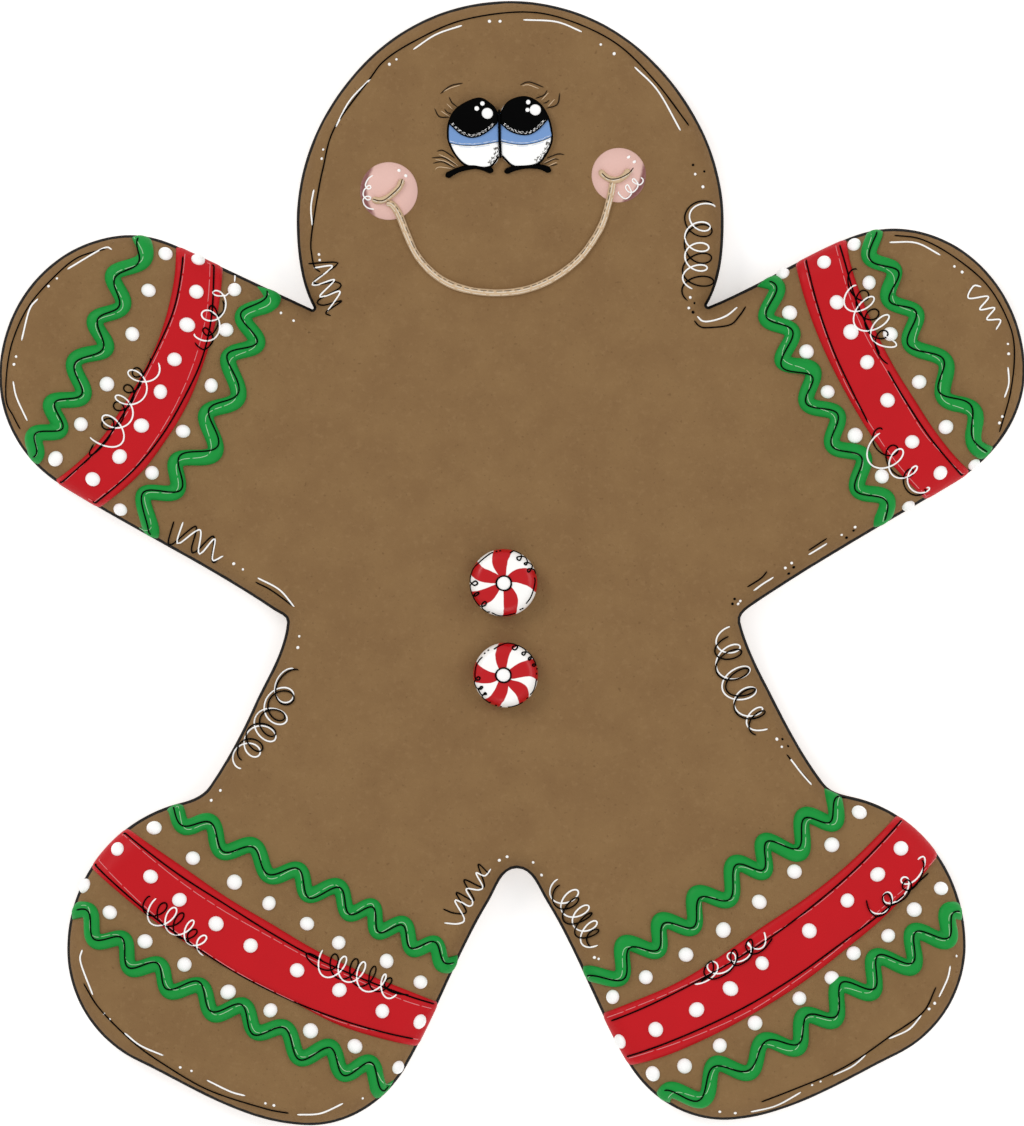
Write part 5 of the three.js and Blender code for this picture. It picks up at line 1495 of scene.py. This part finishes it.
specks = {
    "white": [
        (-3.2, 76.9), (-1.7, 76.9), (-17.4, 70.8), (-16.4, 71.5), (12.6, 73.6), (14.5, 72.3), (-26.8, 58.7),
        (-27.0, 57.4), (26.0, 55.2), (27.1, 53.4), (-27.4, 43.8), (-27.3, 43.0), (-64.6, 40.4),
        (-65.8, 39.3), (-70.4, 29.3), (-70.7, 28.2), (-32.8, 35.5), (-31.0, 34.4), (46.8, 4.0), (48.7, 5.1),
        (62.8, 42.1), (63.9, 41.3), (70.4, 31.1), (70.5, 29.7), (69.6, 20.8), (69.2, 19.9), (-57.9, -64.0),
        (-57.1, -64.8), (-47.1, -71.6), (-45.5, -72.1), (-35.0, -76.7), (-33.8, -77.0), (-21.2, -76.0),
        (-41.4, -32.3), (-42.7, -33.7), (63.1, -55.8), (60.0, -62.5), (59.2, -63.3), (43.8, -73.6),
        (42.6, -74.1), (31.7, -78.1), (29.5, -77.9), (37.6, -25.0), (38.3, -26.1), (32.4, -5.4),
        (32.1, -5.8), (-39.5, -0.1), (-38.2, -0.9), (-30.2, -10.4), (-30.4, -12.0), (-1.8, -42.2),
        (-0.7, -41.7), (3.0, -42.5), (4.2, -44.3), (11.7, -56.0), (12.3, -56.2), (25.3, 37.7), (25.1, 36.2),
        (39.7, 0.0), (38.8, -0.7),
    ],
    "black": [
        (25.7, 56.5), (27.3, 55.6), (47.5, 3.6), (48.5, 4.6), (38.4, -25.0), (39.2, -26.0), (31.6, -5.1),
        (31.3, -5.8), (25.9, 36.9), (25.7, 35.6), (40.0, -0.6), (39.3, -1.5),
    ],
}  # fmt: skip

fine = {
    "stepLength": 0.3,
    "speck": (0.17, 0.24),
    "speckHeight": 0.14,
    "mintSpeck": (0.16, 0.1),
}


def curlLine(start, end, loops, bow, ahead, reach, roll):
    start, end = Vector(start), Vector(end)
    axis = end - start
    along = axis.normalized()
    left = Vector((-along.y, along.x))
    steps = math.ceil(loops * 36)  # one for every ten degrees
    points = []
    for i in range(steps + 1):
        s = i / steps
        angle = 2 * math.pi * loops * s + alongValues(ahead, s)
        aside = alongValues(reach, s) * math.cos(angle) + bow * 4 * s * (1 - s)
        points.append(start + axis * s + along * alongValues(roll, s) * math.sin(angle) + left * aside)
    return points


def besideBand(row, side, name, first, last, stepLength):
    # one of the lines along a side of a band
    curve = Arc(row["line"])
    half = row["width"] / 2
    way = 1 if side == "left" else -1
    steps = math.ceil((last - first) * curve.length / stepLength)
    times = [first + (last - first) * i / steps for i in range(steps + 1)]
    return [curve.at(t) + curve.left(t) * way * (half - alongValues(row[side][name], t)) for t in times]


def alongWave(row, path, stepLength):
    curve = Arc(row["line"])
    start, end = zigzagReach(curve)
    steps = math.ceil((end - start) * curve.length / stepLength)
    return [onWave(row, curve, path, start + (end - start) * i / steps) for i in range(steps + 1)]


iced = ["gingerbread", "flooded_cheek_left", "flooded_cheek_right"]
iced += ["flooded_" + row["name"] for row in bands["rows"]]
iced += ["piped_" + row["name"] for row in zigzags["rows"]]
iced += ["dots_on_" + name for name in ["biscuit", *[row["name"] for row in bands["rows"]]]]
icedBed = bedOf(iced)

strokes = {"black": [], "white": [], "palePink": [], "paleGreen": []}
for kind, shade in (("white", "white"), ("black", "black"), ("over", "black")):
    lines = [curlLine(*curl) for curl in curls[kind]]
    lines += [throughPoints(spots, fine["stepLength"]) for spots in scribbles[kind]]
    strokes[shade] += [drape(icedBed, line, **beads[kind]) for line in lines]
for row in bands["rows"]:
    for side in ("right", "left"):
        for first, last in row[side]["reach"]:
            line = besideBand(row, side, "stitch", first, last, fine["stepLength"])
            strokes["black"].append(drape(icedBed, line, **beads["stitch"]))
        # the pale pink line inside each side of a band is a painted highlight of the icing's gloss
        line = besideBand(row, side, "pale", *bands["paleReach"], fine["stepLength"] / 2)
        strokes["palePink"] += dryStroke(icedBed, line, **chalks["bandHighlight"])
for row in zigzags["rows"]:
    strokes["black"].append(drape(icedBed, alongWave(row, "dark", 0.2), **beads["wave"]))
    # the pale green line along each wave is a painted highlight of the icing's gloss
    strokes["paleGreen"] += dryStroke(icedBed, alongWave(row, "pale", 0.1), **chalks["waveHighlight"])
for shade, lines in strokes.items():
    fineness = 0 if shade.startswith("pale") else 2
    pipeLines("fine_lines_" + shade, lines, paints[shade], fineness=fineness)
for shade, spots in specks.items():
    bm = bmesh.new()
    for spot in spots:
        base = restOn(icedBed, spot)
        addDot(bm, base, surfaceNormal(base), random.uniform(*fine["speck"]), fine["speckHeight"])
    finishPiece("specks_" + shade, bm, paints[shade])
print("fine lines")


def onMint(mint, spot):
    # a place on a mint, drawn in a little towards its edge
    away = Vector(spot).length
    drawn = min(away, mints["squeezeFrom"] + max(away - mints["squeezeFrom"], 0) * mints["squeeze"])
    return Vector(mint["at"]) + Vector(spot) * min(drawn, mint["radius"] - mints["lineMargin"]) / away


for side in ("upper", "lower"):
    mint = mints[side]
    hub = Vector(mint["hub"])
    mintBed = bedOf(["mint_" + side, "mint_dot_" + side])
    ring = []
    for angle in range(0, 371, 10):
        ring.append(hub + heading(angle) * mints["ring"] * (1 + 0.04 * math.sin(angle / 23)))
    strokes = [drape(mintBed, ring, **beads["mintRing"])]
    for spots in mint["lines"]:
        line = [onMint(mint, spot) for spot in throughPoints(spots, 0.1)]
        strokes.append(drape(mintBed, line, **beads["mintLine"]))
    pipeLines("mint_lines_" + side, strokes, paints["black"])
    bm = bmesh.new()
    for spot in mint["specks"]:
        addDot(bm, restOn(mintBed, onMint(mint, spot)), up, *fine["mintSpeck"])
    finishPiece("mint_specks_" + side, bm, paints["black"])
print("peppermint lines")

# face: the bridge of the nose, short strokes of brow, lash and crow's feet, the curls and glints on the
# cheeks, and the lines of the dimples
face = {
    "outlineShrink": 0.98,
    "outlineFrom": 3,
    "irisGap": 0.05,
    "pupilGap": 0.3,
    "bridgeAside": 0.5,
    "glintHeight": 0.12,
    "bridge": [(-1.84, 64.35), (-1.8, 63.2), (-1.77, 61.2), (-1.74, 59.7), (-1.67, 58.6), (-1.62, 57.5)],
    "dark": [
        [(-10.17, 66.6), (-8.72, 67.73), (-6.98, 68.12)], [(1.14, 67.85), (2.44, 68.28), (4.54, 67.52)],
        [(-8.94, 66.17), (-8.51, 65.34), (-7.71, 64.72)], [(-11.0, 64.54), (-10.32, 63.38), (-8.87, 63.27)],
        [(-9.59, 64.47), (-9.19, 63.96), (-8.51, 63.75)], [(5.01, 67.15), (4.54, 66.43), (3.31, 65.95)],
        [(6.79, 66.75), (6.43, 65.12), (4.91, 64.54)], [(5.31, 65.73), (4.91, 65.38), (4.4, 65.27)],
        [(-10.68, 58.45), (-9.74, 58.53), (-8.07, 57.44)], [(-11.41, 57.51), (-9.74, 57.51), (-7.78, 56.42)],
        [(-11.22, 56.74), (-9.88, 56.93), (-8.07, 56.06)], [(7.44, 57.95), (6.5, 58.05), (4.91, 57.44)],
        [(6.68, 57.26), (5.92, 57.32), (4.69, 56.71)], [(6.5, 56.64), (5.49, 56.35)],
    ],
    "pale": [
        [(-9.96, 66.79), (-8.72, 67.44), (-7.35, 67.85)], [(1.43, 67.73), (2.3, 67.88), (3.82, 67.33)],
        [(-9.27, 65.2), (-8.43, 64.4)], [(-10.1, 64.18), (-8.87, 63.38)], [(5.2, 66.79), (4.18, 65.7)],
        [(6.07, 65.85), (5.12, 64.8)], [(-10.39, 58.02), (-9.01, 57.37), (-7.64, 56.35)],
        [(-10.9, 57.29), (-9.45, 57.0), (-8.14, 56.21)], [(-10.93, 55.87), (-10.32, 56.21), (-8.58, 55.99)],
        [(6.14, 57.51), (4.47, 56.79)], [(6.43, 56.93), (5.12, 56.35)],
    ],
    "cheekCurls": [
        [(-19.75, 55.02), (-20.35, 54.59), (-20.73, 53.91), (-20.77, 53.48), (-20.48, 53.1),
         (-20.11, 53.14), (-20.05, 53.42), (-20.31, 53.59), (-20.65, 53.31), (-21.01, 52.89),
         (-21.12, 52.29), (-20.9, 51.86), (-20.48, 51.54), (-20.08, 51.65), (-20.08, 51.91),
         (-20.48, 52.05), (-20.94, 51.87), (-21.13, 51.44), (-20.94, 50.84), (-20.39, 50.37),
         (-19.58, 50.2)],
        [(18.3, 54.74), (18.6, 54.41), (18.52, 54.01), (18.17, 53.7), (17.75, 53.78), (17.24, 54.04),
         (17.07, 54.35), (17.26, 54.56), (17.62, 54.24), (17.89, 53.75), (17.72, 53.16), (17.11, 52.62),
         (16.53, 52.7), (16.14, 53.19), (16.18, 53.54), (16.44, 53.66), (16.72, 53.21), (16.95, 52.59),
         (16.72, 52.08), (16.17, 51.71), (15.64, 51.91), (15.1, 52.49), (15.18, 52.7)],
    ],
    "dimples": [
        [(-19.74, 51.65), (-18.83, 51.4), (-18.05, 51.55), (-17.19, 52.2), (-16.34, 52.97), (-15.83, 53.65),
         (-15.57, 54.5)],
        [(12.76, 55.33), (13.36, 54.75), (14.04, 54.48), (14.98, 54.56), (15.91, 54.92), (16.68, 55.42),
         (17.24, 56.1)],
    ],
    "cheekGlints": [
        (-16.05, 55.7, 0.5, 0.5, 0), (-15.09, 54.95, 0.5, 0.5, 0), (16.53, 57.58, 0.63, 0.4, 40),
        (17.33, 56.91, 0.63, 0.4, 40),
    ],
}  # fmt: skip

faceBed = bedOf([
    "gingerbread", "flooded_cheek_left", "flooded_cheek_right", "flooded_eye_white_left",
    "flooded_eye_white_right", "flooded_iris_left", "flooded_iris_right", "flooded_pupil_left",
    "flooded_pupil_right", "piped_smile",
])  # fmt: skip
shades = ("black", "white", "hair", "tan", "grain", "darkGrain", "blueGrain", "cream")
strokes = {shade: [] for shade in shades}
for side in ("left", "right"):
    eye = eyes[side]
    rim = throughPoints(eye["rim"], 0.2, True)
    middle = sum(rim, Vector((0, 0))) / len(rim)
    outer = [middle.lerp(Vector(spot), face["outlineShrink"]) for spot in eye["rim"]]
    outer = throughPoints(outer[face["outlineFrom"]:] + outer[:1], 0.15)  # open beside the nose
    strokes["black"].append(drape(faceBed, outer, **beads["eyeOutline"]))
    line = within(rim, throughPoints(eye["iris"], 0.1), face["irisGap"])
    strokes["black"].append(drape(faceBed, line, **beads["irisLine"]))
    for name in ("aboveIris", "belowIris"):
        strokes["blueGrain"] += dryStroke(faceBed, line, **chalks[name])
    # the white grains along the lower edge of each pupil are a painted highlight
    line = within(rim, throughPoints(eye["pupil"], 0.08), face["pupilGap"])
    strokes["grain"] += dryStroke(faceBed, line, **chalks["pupil"])
    # the grey grains along the lower right of each eye white are painted shade
    strokes["darkGrain"] += dryStroke(faceBed, throughPoints(eye["shade"], 0.08), **chalks["eyeShade"])
besideNose = Vector((face["bridgeAside"], 0))  # the heights come from the right eye, clear of the groove
line = [point + besideNose for point in throughPoints(face["bridge"], 0.15)]
bead, radii = drape(faceBed, line, **beads["bridge"])
strokes["black"].append(([point - besideNose.to_3d() for point in bead], radii))
for part, shade, step in (("cheekCurls", "white", 0.08), ("dark", "hair", 0.25), ("pale", "tan", 0.25)):
    strokes[shade] += [drape(faceBed, throughPoints(spots, step), **beads[part]) for spots in face[part]]
smileLine = throughPoints(smile["line"], 0.12)
# the dark grains along the inner side of the smile are painted shade
strokes["darkGrain"] += dryStroke(faceBed, smileLine, **chalks["smileShade"])
# the cream lines along the smile and beside the dimple lines are painted highlights
for name in ("smileHighlight", "smileLowerHighlight"):
    strokes["cream"] += dryStroke(faceBed, smileLine, **chalks[name])
for spots in face["dimples"]:
    line = throughPoints(spots, 0.08)
    strokes["hair"].append(drape(faceBed, line, **beads["dimpleLine"]))
    strokes["cream"] += dryStroke(faceBed, line, **chalks["dimple"])
coats = {
    "black": ("black", "icing_black", 2), "white": ("white", "icing_white", 2),
    "hair": ("hair", "icing_black", 2), "tan": ("tan", "icing_tan", 2), "grain": ("white", "icing_white", 0),
    "darkGrain": ("shadeGrey", "icing_black", 0), "blueGrain": ("paleBlue", "icing_blue", 0),
    "cream": ("cream", "icing_tan", 0),
}  # fmt: skip
for shade, (paint, slot, fineness) in coats.items():
    pipeLines("face_lines_" + shade, strokes[shade], paints[paint], fineness=fineness)
bm = bmesh.new()
for x, y, longer, shorter, turn in face["cheekGlints"]:
    made = makeBall(bm, (longer / 2, shorter / 2, face["glintHeight"]))
    tilted = Matrix.Rotation(math.radians(turn), 3, "Z")
    bmesh.ops.rotate(bm, cent=(0, 0, 0), matrix=tilted, verts=made)
    bmesh.ops.translate(bm, vec=restOn(faceBed, (x, y)), verts=made)
finishPiece("cheek_glints", bm, paints["white"])
print("face lines")

# studio: lengths in millimetres
studio = {
    "cameraHeight": 3559.6,
    "lens": 800,
    "sensor": 36,
    "sight": (50, 20000),
    "lights": [
        {"name": "key", "at": (-520, 420, 620), "size": 420, "power": 2.5},
        {"name": "fill", "at": (560, 120, 560), "size": 480, "power": 1.3},
        {"name": "low", "at": (60, -600, 520), "size": 480, "power": 1.1},
    ],
    "world": 0.61,
    "tableSize": 3000,
    "tableShades": ((0.93, 0.93, 0.93, 1), (0.94, 0.94, 0.94, 1)),
    "tableGlow": 0.42,
}


def makeStudio():
    scene = bpy.context.scene
    bm = bmesh.new()
    bmesh.ops.create_grid(bm, x_segments=1, y_segments=1, size=studio["tableSize"])
    bmesh.ops.scale(bm, vec=(mm, mm, mm), verts=bm.verts)
    mesh = bpy.data.meshes.new("tabletop")
    bm.to_mesh(mesh)
    bm.free()
    floor = bpy.data.objects.new("tabletop", mesh)
    collection.objects.link(floor)
    recipe = Recipe("pale_tabletop", 0.9, 0.0)
    recipe.paint("Base Color", recipe.tint(recipe.noise(30), *studio["tableShades"]))
    recipe.shader.inputs["Emission Color"].default_value = (1, 1, 1, 1)
    recipe.shader.inputs["Emission Strength"].default_value = studio["tableGlow"]
    mesh.materials.append(recipe.material)
    for light in studio["lights"]:
        data = bpy.data.lights.new(light["name"], "AREA")
        data.shape = "DISK"
        data.size = light["size"] * mm
        data.energy = light["power"]
        lamp = bpy.data.objects.new(light["name"], data)
        collection.objects.link(lamp)
        lamp.location = Vector(light["at"]) * mm
        lamp.visible_camera = False
        lamp.rotation_mode = "QUATERNION"
        lamp.rotation_quaternion = Vector(light["at"]).to_track_quat("Z", "Y")
    world = bpy.data.worlds.new("studio")
    world.use_nodes = True
    world.node_tree.nodes["Background"].inputs["Color"].default_value = (1, 1, 1, 1)
    world.node_tree.nodes["Background"].inputs["Strength"].default_value = studio["world"]
    scene.world = world
    data = bpy.data.cameras.new("camera")
    data.lens = studio["lens"]
    data.sensor_width = studio["sensor"]
    data.clip_start, data.clip_end = [reach * mm for reach in studio["sight"]]
    camera = bpy.data.objects.new("camera", data)
    collection.objects.link(camera)
    camera.location = (0, 0, studio["cameraHeight"] * mm)
    scene.camera = camera
    scene.view_settings.view_transform = "Standard"
    scene.view_settings.look = "None"


makeStudio()
print("studio")
